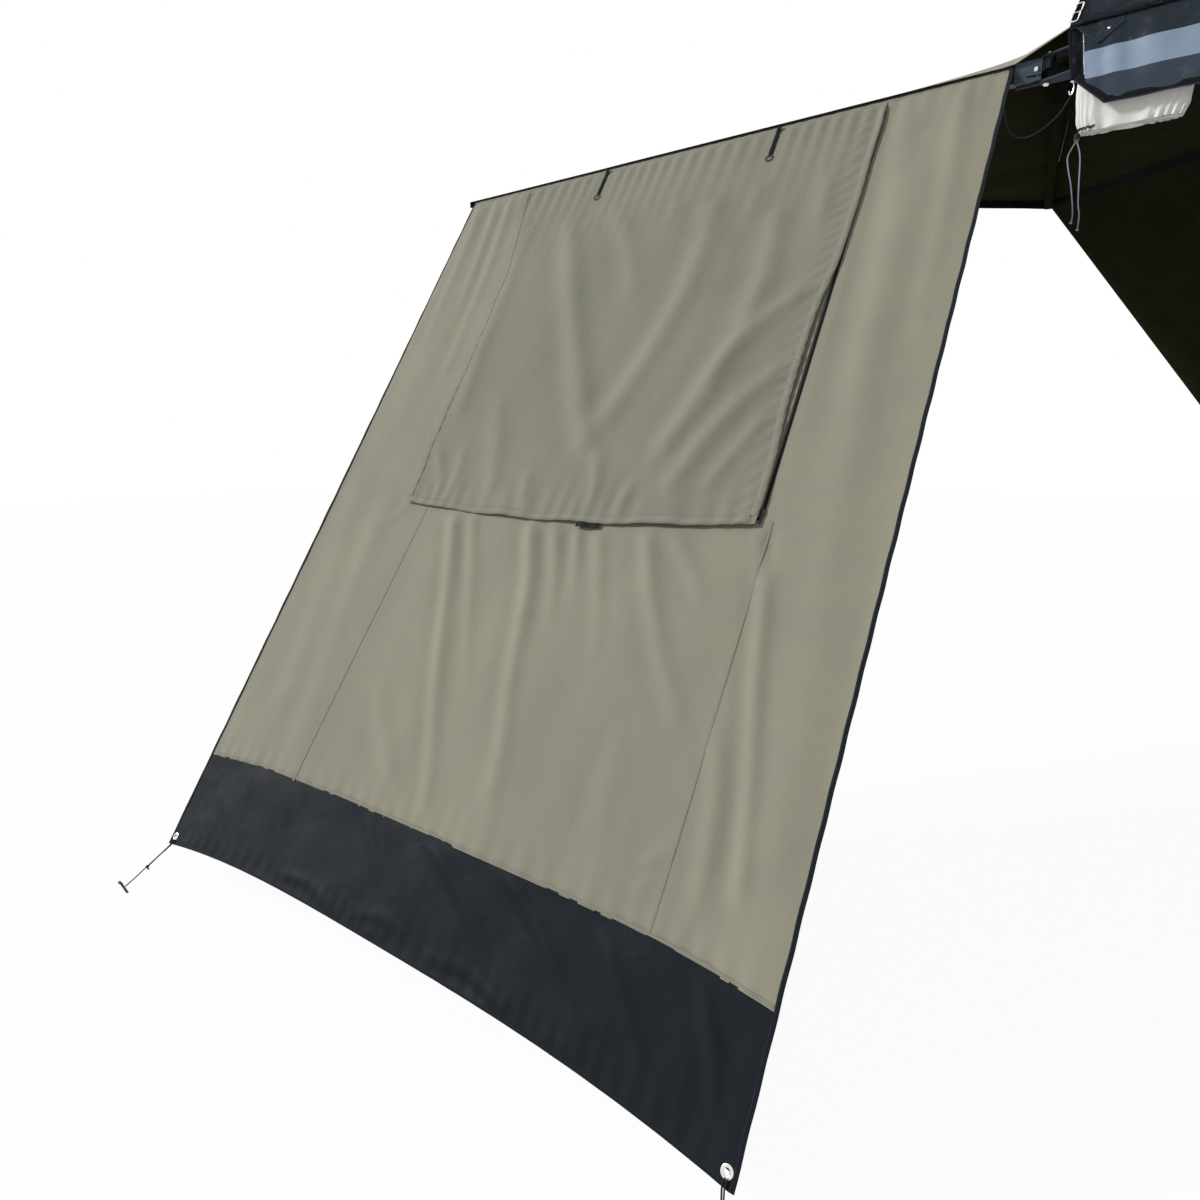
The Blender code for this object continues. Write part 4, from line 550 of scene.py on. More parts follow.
def tubeMesh(name, route, radius, sides=10, closed=False, finish="blackCord"):
    # a round tube along a route, with cloth coordinates along and round it
    padded = route[-1:] + route + route[:1] if closed else route[:1] + route + route[-1:]
    ahead = [(b - a).normalized() for a, b in zip(padded, padded[2:])]
    helper = Vector((0, 0, 1)) if abs(ahead[0].z) < 0.9 else Vector((1, 0, 0))
    across = ahead[0].cross(helper).normalized()
    rings = []
    for point, forward in zip(route, ahead):
        across = (across - forward * across.dot(forward)).normalized()
        up = forward.cross(across)
        rings.append([point + across * (radius * math.cos(a)) + up * (radius * math.sin(a))
                      for a in (fullTurn * k / sides for k in range(sides))])
    around = [[k / sides for k in range(sides + 1)]] * len(route)
    along = marksAlong(route + route[:1])
    return meshFrom(skinRings(rings, along, around, closed, not closed)[0], name, finish)


def tapeMesh(name, route, across, outward, width, thick, finish, rounded=0.35):
    # a flat tape with soft edges. outward is one direction or one for each point, and so is across, which
    # follows the route where it is left out
    outs = outward if isinstance(outward, list) else [outward] * len(route)
    padded = route[:1] + route + route[-1:]
    sides = [across or (b - a).cross(out).normalized() for a, b, out in zip(padded, padded[2:], outs)]
    w, h = width / 2, thick / 2
    c = min(h * 0.9, w * rounded)
    outline = [(-w, -h + c * 0.6), (-w + c, -h), (w - c, -h), (w, -h + c * 0.6),
               (w, h - c * 0.6), (w - c, h), (0, h), (-w + c, h), (-w, h - c * 0.6)]
    rings = [[point + side * x + out * y for x, y in outline] for point, side, out in zip(route, sides, outs)]
    around = [[x for x, y in outline] + [-w]] * len(route)
    return meshFrom(skinRings(rings, marksAlong(route), around)[0], name, finish, sharpTurn)


def joined(name, meshes):
    whole = bmesh.new()
    for data in meshes:
        whole.from_mesh(data)
    made = bpy.data.meshes.new(name)
    whole.to_mesh(made)
    whole.free()
    for material in meshes[0].materials:
        made.materials.append(material)
    return made


def spun(name, centre, axis, profile, steps=32, finish="nickel"):
    # profile points are (distance along the axis, radius), spun once round the axis
    deselect()
    axis = Vector(axis).normalized()
    helper = Vector((1, 0, 0)) if abs(axis.x) < 0.9 else Vector((0, 1, 0))
    out = (helper - axis * helper.dot(axis)).normalized()
    data = bpy.data.meshes.new(name)
    points = [Vector(centre) + axis * d + out * r for d, r in profile]
    data.from_pydata([tuple(p) for p in points], [(i, i + 1) for i in range(len(points) - 1)], [])
    piece = bpy.data.objects.new(name, data)
    bpy.context.scene.collection.objects.link(piece)
    pick(piece)
    bpy.ops.object.mode_set(mode="EDIT")
    bpy.ops.mesh.select_all(action="SELECT")
    bpy.ops.mesh.spin(steps=steps, angle=2 * math.pi, center=centre, axis=axis)
    bpy.ops.mesh.select_all(action="SELECT")
    bpy.ops.mesh.remove_doubles(threshold=0.00002)
    bpy.ops.mesh.normals_make_consistent(inside=False)
    bpy.ops.object.mode_set(mode="OBJECT")
    bpy.ops.object.shade_smooth_by_angle(angle=math.radians(32))
    data = piece.data
    data.materials.append(finishes[finish])
    deselect()
    bpy.data.objects.remove(piece)
    return data


# Near wall: u runs across from its tip end, v down the slope and h outwards, all in metres

wall = {
    "corner": Vector((-2.594, 0.1230, 0.0412)),
    "slope": math.radians(56.5),
    "width": 2.016,
    "length": 2.70,
    "panelTop": 0.0035,
    "panelLap": 0.003,
    "panelBack": 0.001,
    "skirtTop": 2.403,
    "skirtRise": 0.040,
    "hemRise": 0.053,
    "seamLeftTop": 0.600,
    "seamLeftLean": 0.0593,
    "seamRight": 1.720,
    "side": 0.0042,
    "window": (0.640, 1.660, 1.352),
    "eyelet": 0.021,
    "thickness": 0.0012,
}
wallDown = Vector((0, -math.cos(wall["slope"]), -math.sin(wall["slope"])))
wallOut = Vector((0, -math.sin(wall["slope"]), math.cos(wall["slope"])))
eyeletPlaces = (("Left", wall["eyelet"]), ("Right", wall["width"] - wall["eyelet"]))
wallAcross = Vector((1, 0, 0))


def onWall(u, v, h=0.0):
    return wall["corner"] + wallAcross * u + wallDown * v + wallOut * h


def onWallAll(u, v, h):
    corner, across, down, out = (np.array(p) for p in (wall["corner"], wallAcross, wallDown, wallOut))
    return corner + u[..., None] * across + v[..., None] * down + h[..., None] * out


def wallCloth(name, u, v, h, thickness, finish, **facts):
    return clothFrom(name, onWallAll(u, v, h), np.stack([u, v], -1), thickness, finish, **facts)


def bow(u):
    return np.abs((u - wall["width"] / 2) / (wall["width"] / 2))


def hemV(u):
    return wall["length"] - wall["hemRise"] * (1 - bow(u) ** 3)


def skirtV(u):
    return wall["skirtTop"] - wall["skirtRise"] * (1 - bow(u) ** 4)


def seamLeft(v):
    return wall["seamLeftTop"] - wall["seamLeftLean"] * v


def wander(along, length, sway, turns):
    # a wave whose length wanders
    return np.sin(fullTurn * along / length + sway * np.sin(along * turns))


wallFolds = [
    ([(0.655, 1.44), (0.735, 1.628), (0.796, 1.795), (0.873, 2.001), (0.942, 2.151), (1.011, 2.33)],
     0.020, 0.0050, 0.0026),
    ([(0.731, 1.43), (0.821, 1.619), (0.927, 1.863), (0.984, 2.0)], 0.017, 0.0036, 0.0008),
    ([(0.975, 1.44), (1.055, 1.627), (1.09, 1.773), (1.13, 1.95), (1.175, 2.076), (1.208, 2.26)],
     0.022, 0.0068, 0.0022),
    ([(1.07, 1.45), (1.14, 1.617), (1.183, 1.769)], 0.017, 0.0046, 0.0008),
    ([(1.150, 1.45), (1.198, 1.578), (1.22, 1.66)], 0.014, 0.0050, 0.0006),
    ([(1.225, 1.45), (1.33, 1.716), (1.359, 1.829)], 0.018, 0.0036, 0.0008),
    ([(1.380, 1.44), (1.449, 1.601), (1.518, 1.736), (1.575, 1.826), (1.654, 1.947)], 0.020, 0.0048, 0.0015),
    ([(1.466, 1.45), (1.565, 1.568), (1.614, 1.628)], 0.018, 0.0036, 0.0010),
    ([(0.642, 2.003), (0.713, 2.142), (0.855, 2.272)], 0.024, 0.0010, 0.0030),
    ([(1.497, 1.965), (1.515, 2.089), (1.524, 2.21)], 0.026, 0.0012, 0.0020),
    ([(1.706, 2.202), (1.633, 2.27)], 0.014, 0.0036, 0.0010),
    ([(1.700, 2.262), (1.640, 2.31)], 0.012, 0.0028, 0.0010),
    ([(1.738, 1.50), (1.791, 1.785), (1.843, 2.004), (1.889, 2.25)], 0.016, 0.0040, 0.0040),
    ([(1.720, 1.40), (1.757, 1.591)], 0.014, -0.0040, -0.0010),
    ([(1.830, 0.30), (1.844, 0.90), (1.899, 1.60), (1.929, 2.195)], 0.045, 0.0035, 0.0028),
    ([(1.736, 1.912), (1.778, 2.059), (1.810, 2.30)], 0.018, 0.0020, 0.0030),
    ([(1.76, 0.06), (1.80, 0.5), (1.84, 1.1)], 0.030, 0.0030, 0.0015),
    ([(1.90, 0.04), (1.93, 0.40), (1.95, 0.9)], 0.022, 0.0030, 0.0010),
    ([(0.06, 0.03), (0.09, 0.35), (0.11, 0.75)], 0.020, 0.0034, 0.0008),
    ([(0.15, 0.03), (0.19, 0.30), (0.22, 0.62)], 0.018, 0.0040, 0.0008),
    ([(0.23, 0.03), (0.27, 0.35), (0.30, 0.90)], 0.020, 0.0036, 0.0012),
    ([(0.10, 1.3), (0.17, 1.7), (0.26, 2.2)], 0.050, 0.0020, 0.0030),
    ([(0.30, 1.45), (0.34, 1.8), (0.40, 2.3)], 0.040, 0.0026, 0.0016),
    ([(0.44, 1.40), (0.39, 1.46), (0.33, 1.50)], 0.016, 0.0030, 0.0006),
]


def wallRelief(u, v):
    lift = reliefOf(u, v, wallFolds, 1.2) * 2.0
    lift += ripple(u, v, [(0.9, 3.1, 0.4, 0.0026), (0.37, -1.7, 1.9, 0.0016), (0.19, 2.6, 0.8, 0.0009)])
    pucker = np.exp(-v / 0.07) * 0.0026 * wander(u, 0.047, 2.2, 9)
    lower = np.exp(-np.abs(skirtV(u) - v) / 0.05) * 0.0018 * wander(u, 0.061, 1.7, 7)
    held = easeIn(v, 0.0, 0.03) * easeIn(u, 0.0, 0.03) * easeIn(wall["width"] - u, 0.0, 0.03)
    outside = easeIn(v, 1.40, 1.47) + (1 - easeIn(u, 0.33, 0.42)) + easeIn(u, 1.70, 1.74)
    return (lift * np.clip(outside, 0, 1) + lower + pucker) * held


def wallGrid(knots, columns, rows):
    # knots are across the wall, plain or as functions of v, with so many columns between them. Two counts of
    # rows split the height at the window's foot
    shares = [knot + i / count for knot, count in enumerate(columns) for i in range(count)] + [len(columns)]
    split, head = len(rows) == 2, wall["panelTop"]
    top = wall["window"][2] if split else head
    levels = [(False, i / rows[0]) for i in range(rows[0])] if split else []
    levels += [(True, i / rows[-1]) for i in range(rows[-1] + 1)]
    u = np.zeros((len(levels), len(shares)))
    v = np.zeros_like(u)
    for r, (below, level) in enumerate(levels):
        for c, share in enumerate(shares):
            knot = min(int(share), len(columns) - 1)
            low = top + 0.5 * level if below else head + (top - head) * level
            for _ in range(4 if below else 1):
                start, end = (k(low) if callable(k) else k for k in knots[knot:knot + 2])
                across = start + (end - start) * (share - knot)
                if below:
                    low = top + (skirtV(across) + wall["panelLap"] - top) * level
            u[r, c], v[r, c] = across, low
    return u, v


windowLeft, windowRight, windowFoot = wall["window"]


def inWindow(u, v):
    return (windowLeft < u) & (u < windowRight) & (v < windowFoot)


panels = (
    ("leftSidePanel", "wall_side_panel_left", [wall["side"], seamLeft], [44], [190], (0.60, 2.41), None),
    ("rightSidePanel", "wall_side_panel_right", [wall["seamRight"], wall["width"] - wall["side"]],
     [25], [190],
     (0.30, 2.41), None),
    ("centrePanel", "wall_centre_panel", [seamLeft, windowLeft, windowRight, wall["seamRight"]], [10, 84, 6],
     [60, 86], (1.27, 2.41), inWindow),
)
for name, node, knots, columns, rows, size, hole in panels:
    u, v = wallGrid(knots, columns, rows)
    panel = wallCloth(name, u, v, wallRelief(u, v) - wall["panelBack"], wall["thickness"], "wall", skip=hole,
                      body="wall", replaced=node)


def skirt():
    spec = {"columns": 168, "rows": 26, "lift": 1.7, "hole": 0.0072, "thickness": 0.0014}
    folds = [
        ([(1.06, 2.37), (1.20, 2.45), (1.314, 2.53), (1.44, 2.64)], 0.020, 0.0058, 0.0016),
        ([(0.800, 2.37), (0.88, 2.45), (0.967, 2.54)], 0.018, 0.0046, 0.0010),
        ([(1.32, 2.37), (1.44, 2.44), (1.577, 2.54), (1.66, 2.63)], 0.018, 0.0052, 0.0014),
        ([(1.61, 2.40), (1.71, 2.50), (1.803, 2.62)], 0.018, 0.0042, 0.0018),
        ([(1.855, 2.41), (1.91, 2.50), (1.955, 2.62)], 0.016, 0.0044, 0.0026),
        ([(0.234, 2.39), (0.28, 2.50), (0.323, 2.62)], 0.020, 0.0030, 0.0014),
        ([(0.55, 2.62), (0.70, 2.60), (0.82, 2.63)], 0.012, 0.0030, 0.0026),
        ([(0.90, 2.61), (1.00, 2.585), (1.10, 2.60)], 0.012, 0.0034, 0.0022),
        ([(1.20, 2.615), (1.31, 2.60), (1.45, 2.635)], 0.011, 0.0030, 0.0022),
        ([(0.40, 2.38), (0.47, 2.46), (0.52, 2.57)], 0.020, 0.0024, 0.0010),
    ]
    across = np.linspace(wall["side"], wall["width"] - wall["side"], spec["columns"] + 1)
    u, share = np.meshgrid(across, np.linspace(0, 1, spec["rows"] + 1))
    top, foot = skirtV(u) - 0.002, hemV(u) - 0.001
    v = top + (foot - top) * share
    lift = reliefOf(u, v, folds) * spec["lift"]
    lift += np.exp(-(hemV(u) - v) / 0.045) * 0.0028 * wander(u, 0.047, 2.5, 8)
    lift += ripple(u, v, [(0.7, 0.9, 0.3, 0.0020), (0.21, 0.5, 1.3, 0.0011)])
    lift *= easeIn(u, 0.035, 0.075) * easeIn(wall["width"] - u, 0.035, 0.075) * easeIn(hemV(u) - v, 0.0, 0.02)
    lift *= 0.25 + 0.75 * easeIn(v - skirtV(u), 0.0, 0.03)

    def inHole(a, b):
        away = [np.hypot(a - x, b - hemV(x) + wall["eyelet"]) for _, x in eyeletPlaces]
        return np.min(away, 0) < spec["hole"]

    made = wallCloth("skirt", u, v, lift - 0.0012, spec["thickness"], "skirt", skip=inHole, body="wall",
                     slotName="skirt_fabric", replaced="wall_skirt")


def windowScreen():
    u, v = np.meshgrid(np.linspace(windowLeft - 0.006, windowRight + 0.006, 60),
                       np.linspace(wall["panelTop"], windowFoot + 0.006, 70))
    made = wallCloth("windowScreen", u, v, ripple(u, v, [(0.5, 1.1, 0.2, 0.0008)]) - 0.0034, 0.0006, "mesh",
                     body="wall", slotName="window_mesh", replaced="window_mesh")


skirt()
windowScreen()
print("wall panels made")


# Window cover, its zip and the flap

def windowCover():
    spec = {"left": 0.628, "right": 1.684, "top": 0.046, "foot": 1.391, "calm": 0.08, "face": 0.0020}
    u, v = np.meshgrid(np.linspace(spec["left"], spec["right"], 88),
                       np.linspace(spec["top"], spec["foot"], 110))
    lift = ripple(u, v, [(0.31, 1.9, 0.5, 0.0009), (0.8, -0.9, 1.4, 0.0010)])
    lift *= easeIn(u, spec["left"], spec["left"] + spec["calm"]) * easeIn(spec["right"] - u, 0, spec["calm"])
    made = wallCloth("windowCover", u, v, spec["face"] + np.clip(lift, -0.0012, 0.0016), 0.0010, "wall",
                     body="wall", replaced="window_cover")


def windowZip():
    spec = {"left": 0.622, "right": 1.691, "top": 0.050, "foot": 1.3963, "corner": 0.018, "tape": 0.0085,
            "coil": 0.0026}
    left, right, top, foot, corner = (spec[key] for key in ("left", "right", "top", "foot", "corner"))
    bends = [(corner * (1 - math.cos(a)), corner * (1 - math.sin(a)))
             for a in map(math.radians, (30, 60, 90))]
    route = [(left, top + (foot - corner - top) * i / 60) for i in range(61)]
    route += [(left + x, foot - y) for x, y in bends]
    route += [(left + corner + (right - left - 2 * corner) * i / 60, foot) for i in range(1, 61)]
    route += [(right - y, foot - x) for x, y in bends]
    route += [(right, foot - corner - (foot - corner - top) * i / 60) for i in range(1, 61)]
    parts = [tapeMesh("zip", [onWall(u, v, h) for u, v in route], None, wallOut, width, thick, "blackTape",
                      rounded)
             for h, width, thick, rounded in ((0.0006, spec["tape"], 0.0008, 0.35),
                                              (0.0019, spec["coil"], 0.0016, 0.4))]
    asPiece("windowZip", joined("windowZip", parts), "wall", "black_trim", "window_zip")


windowCover()
windowZip()

flap = {"top": 0.012, "foot": 1.414, "belly": 0.030, "under": 0.0084, "thickness": 0.0012,
        "strapAt": (0.700, 1.362)}
flapFolds = [
    ([(0.538, 0.05), (0.66, 0.33), (0.809, 0.647), (0.978, 0.99), (1.10, 1.22)], 0.030, 0.0060, 0.0085),
    ([(1.215, 0.26), (1.243, 0.45), (1.240, 0.66), (1.190, 0.907), (1.105, 1.15)], 0.030, 0.0060, 0.0075),
    ([(1.455, 0.36), (1.488, 0.60), (1.475, 0.82), (1.425, 1.02), (1.345, 1.24)], 0.028, 0.0065, 0.0080),
    ([(1.640, 0.68), (1.555, 0.76), (1.450, 0.91), (1.40, 1.02)], 0.022, 0.0065, 0.0030),
    ([(1.645, 0.94), (1.540, 1.05), (1.465, 1.19), (1.400, 1.36)], 0.022, 0.0068, 0.0050),
    ([(1.630, 1.09), (1.565, 1.22), (1.515, 1.33)], 0.016, 0.0046, 0.0034),
    ([(0.815, 0.12), (0.855, 0.27), (0.990, 0.50), (1.050, 0.66)], 0.026, 0.0050, 0.0030),
    ([(0.400, 0.14), (0.450, 0.50), (0.455, 0.80), (0.490, 1.10)], 0.024, 0.0036, 0.0040),
    ([(1.340, 0.12), (1.365, 0.24), (1.372, 0.40)], 0.020, 0.0050, 0.0026),
    ([(1.56, 0.14), (1.585, 0.30), (1.60, 0.46)], 0.020, 0.0050, 0.0030),
    ([(1.050, 0.12), (1.070, 0.24), (1.085, 0.34)], 0.018, 0.0042, 0.0020),
    ([(0.640, 1.00), (0.72, 1.18), (0.79, 1.38)], 0.026, 0.0030, 0.0056),
    ([(1.132, 1.20), (1.186, 1.38)], 0.018, 0.0034, 0.0050),
    ([(0.58, 1.19), (0.62, 1.40)], 0.018, 0.0028, 0.0044),
    ([(0.45, 1.20), (0.52, 1.30), (0.57, 1.41)], 0.015, 0.0044, 0.0025),
    ([(0.90, 1.27), (0.93, 1.42)], 0.016, 0.0030, 0.0044),
    ([(1.30, 1.30), (1.27, 1.42)], 0.015, 0.0034, 0.0044),
]
flapLeft = [(0, 0.305), (0.15, 0.345), (0.30, 0.388), (0.55, 0.403), (0.75, 0.397), (0.9, 0.408), (1, 0.414)]
flapRight = [(0, 1.690), (0.06, 1.696), (0.36, 1.696), (0.42, 1.692), (0.47, 1.684), (0.52, 1.677),
             (0.60, 1.672), (0.68, 1.671), (0.76, 1.674), (0.85, 1.682), (0.95, 1.688), (1, 1.685)]
flapWaves = [(1.9, 5.0, 0.3, 0.0030), (0.53, -2.3, 1.1, 0.0016), (0.27, 1.6, 0.2, 0.0009)]


def flapLevel(u, v):
    # height of the flap's middle over the wall. It lies flat under its straps and swells lower down
    free = easeIn(v, 0.16, 0.36)
    header = easeIn(v, 0.012, 0.05)
    lift = reliefOf(u, v, flapFolds, 1.5) * 1.75 + ripple(u, v, flapWaves)
    puckers = 0.0036 * wander(u, 0.053, 2.0, 8) * np.exp(-np.maximum(v - 0.02, 0) / 0.13)
    rims = np.exp(-((u - 1.652) / 0.030) ** 2) + 0.6 * np.exp(-((u - 0.425) / 0.030) ** 2)
    crumple = 0.0016 * rims * np.sin(fullTurn * (v / 0.047 + u / 0.06) + 2.2 * np.sin(v * 13))
    swell = 0.010 * np.sin(math.pi * np.clip((v - 0.1) / 1.35, 0, 1))
    swell = swell * np.sin(math.pi * np.clip((u - 0.26) / 1.4, 0, 1))
    edge = 0.006 * easeIn(u, 1.61, 1.69) * (0.5 + 0.5 * np.sin(v * 9.0 + 0.6)) * easeIn(v, 0.3, 0.6)
    foot = 0.6 + 0.4 * np.sin(u * 23 + 1.0) + 0.45 * np.sin(u * 97 + 3 * np.sin(u * 11))
    foot = 0.0045 * easeIn(v, 1.26, 1.42) * foot
    side = 0.0040 * np.exp(-np.abs(u - 0.33) / 0.07) * np.sin(v * 41 + 3 * np.sin(v * 7)) * free
    strap = np.minimum(*(np.abs(u - at) for at in flap["strapAt"]))
    clear = 1 - (1 - easeIn(strap, 0.02, 0.05)) * (1 - easeIn(v, 0.18, 0.30))
    # a soft floor keeps the valleys off the cover
    lowest, soft = -0.0034, 0.0030
    bulge = lift * free + swell + edge + foot + side
    bulge = lowest + soft * np.logaddexp(0, (bulge - lowest) / soft)
    hug = easeIn(u, 1.60, 1.675) * (1 - 0.55 * easeIn(v, 0.45, 1.0))
    level = flap["under"] * (0.25 + 0.75 * header) * (1 - 0.18 * hug)
    return level + (bulge * (1 - 0.9 * hug) + crumple + puckers * header) * clear


def flapHeight(u, v):
    return float(flapLevel(np.array([u]), np.array([v]))[0])


def flapEdges(share):
    left = np.interp(share, *zip(*flapLeft)) + 0.0015 * np.sin(share * 43)
    return left, np.interp(share, *zip(*flapRight)) + 0.0010 * np.sin(share * 31)


def flapPoint(across, share):
    left, right = flapEdges(share)
    arch = np.sin(math.pi * np.clip(across, 0, 1))
    foot = flap["foot"] + flap["belly"] * arch ** 0.8 + 0.0022 * np.sin(across * 31) * arch
    return left + (right - left) * across, flap["top"] + (foot - flap["top"]) * share


flapU, flapV = flapPoint(*np.meshgrid(np.linspace(0, 1, 150), np.linspace(0, 1, 190)))
stormFlap = wallCloth("stormFlap", flapU, flapV, flapLevel(flapU, flapV), flap["thickness"], "flap",
                      body="flap", slotName="flap_canvas", replaced="storm_flap")


def flapTape(u, v, width):
    # a sewn strip that follows the flap's own folds
    step, lift, thick = 0.004, 0.0011, 0.0009
    points, outward = [], []
    for a, b, h, beside, below in zip(u, v, flapLevel(u, v), flapLevel(u + step, v), flapLevel(u, v + step)):
        points.append(onWall(a, b, h + lift))
        downSlope = wallDown + wallOut * ((below - h) / step)
        outward.append(downSlope.cross(wallAcross + wallOut * ((beside - h) / step)).normalized())
    return tapeMesh("hem", points, None, outward, width, thick, "flapHem")


def flapTrims():
    spec = {"points": 110, "hem": 0.022, "sideHem": 0.020, "inset": 0.012, "footInset": 0.013}
    u, v = flapPoint(np.linspace(0.012, 0.988, spec["points"]), 1.0)
    share = np.linspace(0.02, 0.985, spec["points"])
    down = flap["top"] + (flap["foot"] - flap["top"]) * share
    left, right = flapEdges(share)
    hems = [flapTape(u, v - spec["footInset"], spec["hem"]),
            flapTape(left + spec["inset"], down, spec["sideHem"]),
            flapTape(right - spec["inset"], down, spec["sideHem"])]
    asPiece("flapHems", joined("flapHems", hems), "flap", "flap_canvas", "storm_flap")
    tab = [onWall(u, 1.4505, flapHeight(u, 1.44) - 0.0016)
           for u in (1.150 + 0.078 * i / 12 for i in range(13))]
    data = tapeMesh("flapTab", tab, wallDown, wallOut, 0.014, 0.0016, "blackTape")
    asPiece("flapTab", data, "flap", "black_trim", "storm_flap")


flapTrims()
print("flap made")


# Straps with rings over the flap

def rollStrap(side, u):
    spec = {"width": 0.0152, "thick": 0.0015, "top": 0.014, "foot": 0.136, "face": 0.0101}
    points = []
    for i in range(26):
        v = spec["top"] + (spec["foot"] - spec["top"]) * i / 25
        h = max(spec["face"], flapHeight(u, v) + 0.0008)
        points.append(onWall(u, v, h + 0.0007 + 0.0006 * math.sin(i * 0.7)))
    data = tapeMesh("strap", points, wallAcross, wallOut, spec["width"], spec["thick"], "webbing")
    asPiece(f"rollStrap{side}", data, "flap", "strap_webbing", f"roll_strap_{side.lower()}")


def strapRing(side, u):
    spec = {"radius": 0.0116, "wire": 0.0016, "v": 0.1478, "face": 0.0120, "flat": -0.72}
    turns = [math.radians(d) for d in range(0, 360, 15)]
    route = [onWall(u + spec["radius"] * math.cos(a),
                    spec["v"] + spec["radius"] * max(math.sin(a), spec["flat"]), spec["face"]) for a in turns]
    data = tubeMesh("ring", route, spec["wire"], 10, True, "bracket")
    asPiece(f"strapRing{side}", data, "flap", "fitting_metal", f"strap_ring_{side.lower()}")


for side, u in zip(("Left", "Right"), flap["strapAt"]):
    rollStrap(side, u)
    strapRing(side, u)


# Piping, binding, seams and eyelets

def wallTape(line, width, thick, finish):
    return tapeMesh("tape", [onWall(*spot) for spot in line], None, wallOut, width, thick, finish)


def piping():
    route = [onWall(u, 0.00036 * math.sin(u * 70)) for u in np.linspace(0.001, wall["width"] - 0.001, 180)]
    asPiece("topPiping", tubeMesh("topPiping", route, 0.0021, 12), "wall", "black_trim", "wall_top_piping")


def binding():
    spec = {"inset": 0.005, "wide": 0.010, "thick": 0.0042, "hemWide": 0.007, "hemThick": 0.0036,
            "level": -0.001}
    sides = []
    for u in (spec["inset"], wall["width"] - spec["inset"]):
        line = [(u + 0.0006 * math.sin(i * 0.9), 0.004 + (wall["length"] - 0.002) * i / 150,
                 spec["level"] + 0.0004 * math.sin(i * 0.63)) for i in range(151)]
        sides.append(wallTape(line, spec["wide"], spec["thick"], "binding"))
    line = [(u, float(hemV(u)) + 0.0005, spec["level"] + 0.0003 * math.sin(u * 60))
            for u in np.linspace(0.008, wall["width"] - 0.008, 170)]
    sides.append(wallTape(line, spec["hemWide"], spec["hemThick"], "binding"))
    asPiece("wallBinding", joined("wallBinding", sides), "wall", "binding_tape", "wall_binding")


def seams():
    spec = {"width": 0.008, "thick": 0.0004, "inset": 0.012}
    down, short = np.linspace(0.01, 2.375, 190), np.linspace(1.40, 2.385, 110)
    across, fine = (np.linspace(spec["inset"], wall["width"] - spec["inset"], n) for n in (180, 260))
    made = []
    for u, v, lowest in ((seamLeft(down), down, -1), (wall["seamRight"] + 0 * short, short, -1),
                         (across, skirtV(across) - 0.004, -0.00025), (fine, 0.0075 + 0 * fine, -1)):
        level = np.maximum(wallRelief(u, v), lowest) + (0.00005 if lowest < -0.5 else 0.00015)
        made.append(wallTape(zip(u, v, level), spec["width"], spec["thick"], "seam"))
    asPiece("wallSeams", joined("wallSeams", made), "wall", "wall_canvas", "wall_centre_panel")


def eyelet(side, u):
    hole, flange, neck, back, front = 0.0060, 0.0122, 0.0082, -0.0035, 0.0015
    profile = [(back + 0.0006, hole + 0.0010), (back, hole + 0.0022), (back + 0.0002, flange * 0.75),
               (back + 0.0009, flange), (back + 0.0012, flange), (back + 0.0012, neck),
               (front - 0.0012, neck), (front - 0.0012, flange), (front - 0.0009, flange),
               (front - 0.0002, flange * 0.82), (front, hole + 0.0028), (front - 0.0002, hole + 0.0012),
               (front - 0.0008, hole + 0.0003), (-0.001, hole), (back + 0.0006, hole + 0.0010)]
    data = spun(f"eyelet{side}", onWall(u, float(hemV(u)) - wall["eyelet"]), wallOut, profile, 40)
    asPiece(f"eyelet{side}", data, "wall", "fitting_metal", f"eyelet_{side.lower()}")


piping()
binding()
seams()
for side, u in eyeletPlaces:
    eyelet(side, u)
print("edges made")


# Free cords: guy ropes with pegs, drawcord and elastic cord

def knotted(name, place, size, finish="blackCord", body="wall", slotName="black_rope"):
    loops = []
    for tilt, turn in ((20, 0), (-35, 60), (70, 120)):
        spin = Matrix.Rotation(math.radians(turn), 3, "Z") @ Matrix.Rotation(math.radians(tilt), 3, "X")
        route = [place + spin @ Vector((math.cos(a) * size, math.sin(a) * size * 0.8, 0))
                 for a in (fullTurn * k / 20 for k in range(20))]
        loops.append(tubeMesh(name, route, size * 0.42, 8, True, finish))
    return asPiece(name, joined(name, loops), body, slotName)


def cordPiece(name, turns, diameter, body, slotName, replaced=None, finish="blackCord"):
    route = smoothRoute(turns, 0.006)
    data = tubeMesh(name, route, diameter / 2, 12, finish=finish)
    return asPiece(name, data, body, slotName, replaced), route


def freeCord(piece, route, diameter, **facts):
    tuple(route[0])
    routeLength(route)
    [tuple(p) for p in route]


ground = -2.3203
rope = {"diameter": 0.0035, "tail": 0.0013, "out": 0.143, "lift": 0.022, "knotAt": 0.52, "knot": 0.0042,
        "twin": 0.9, "lean": (-0.022, 0.072)}


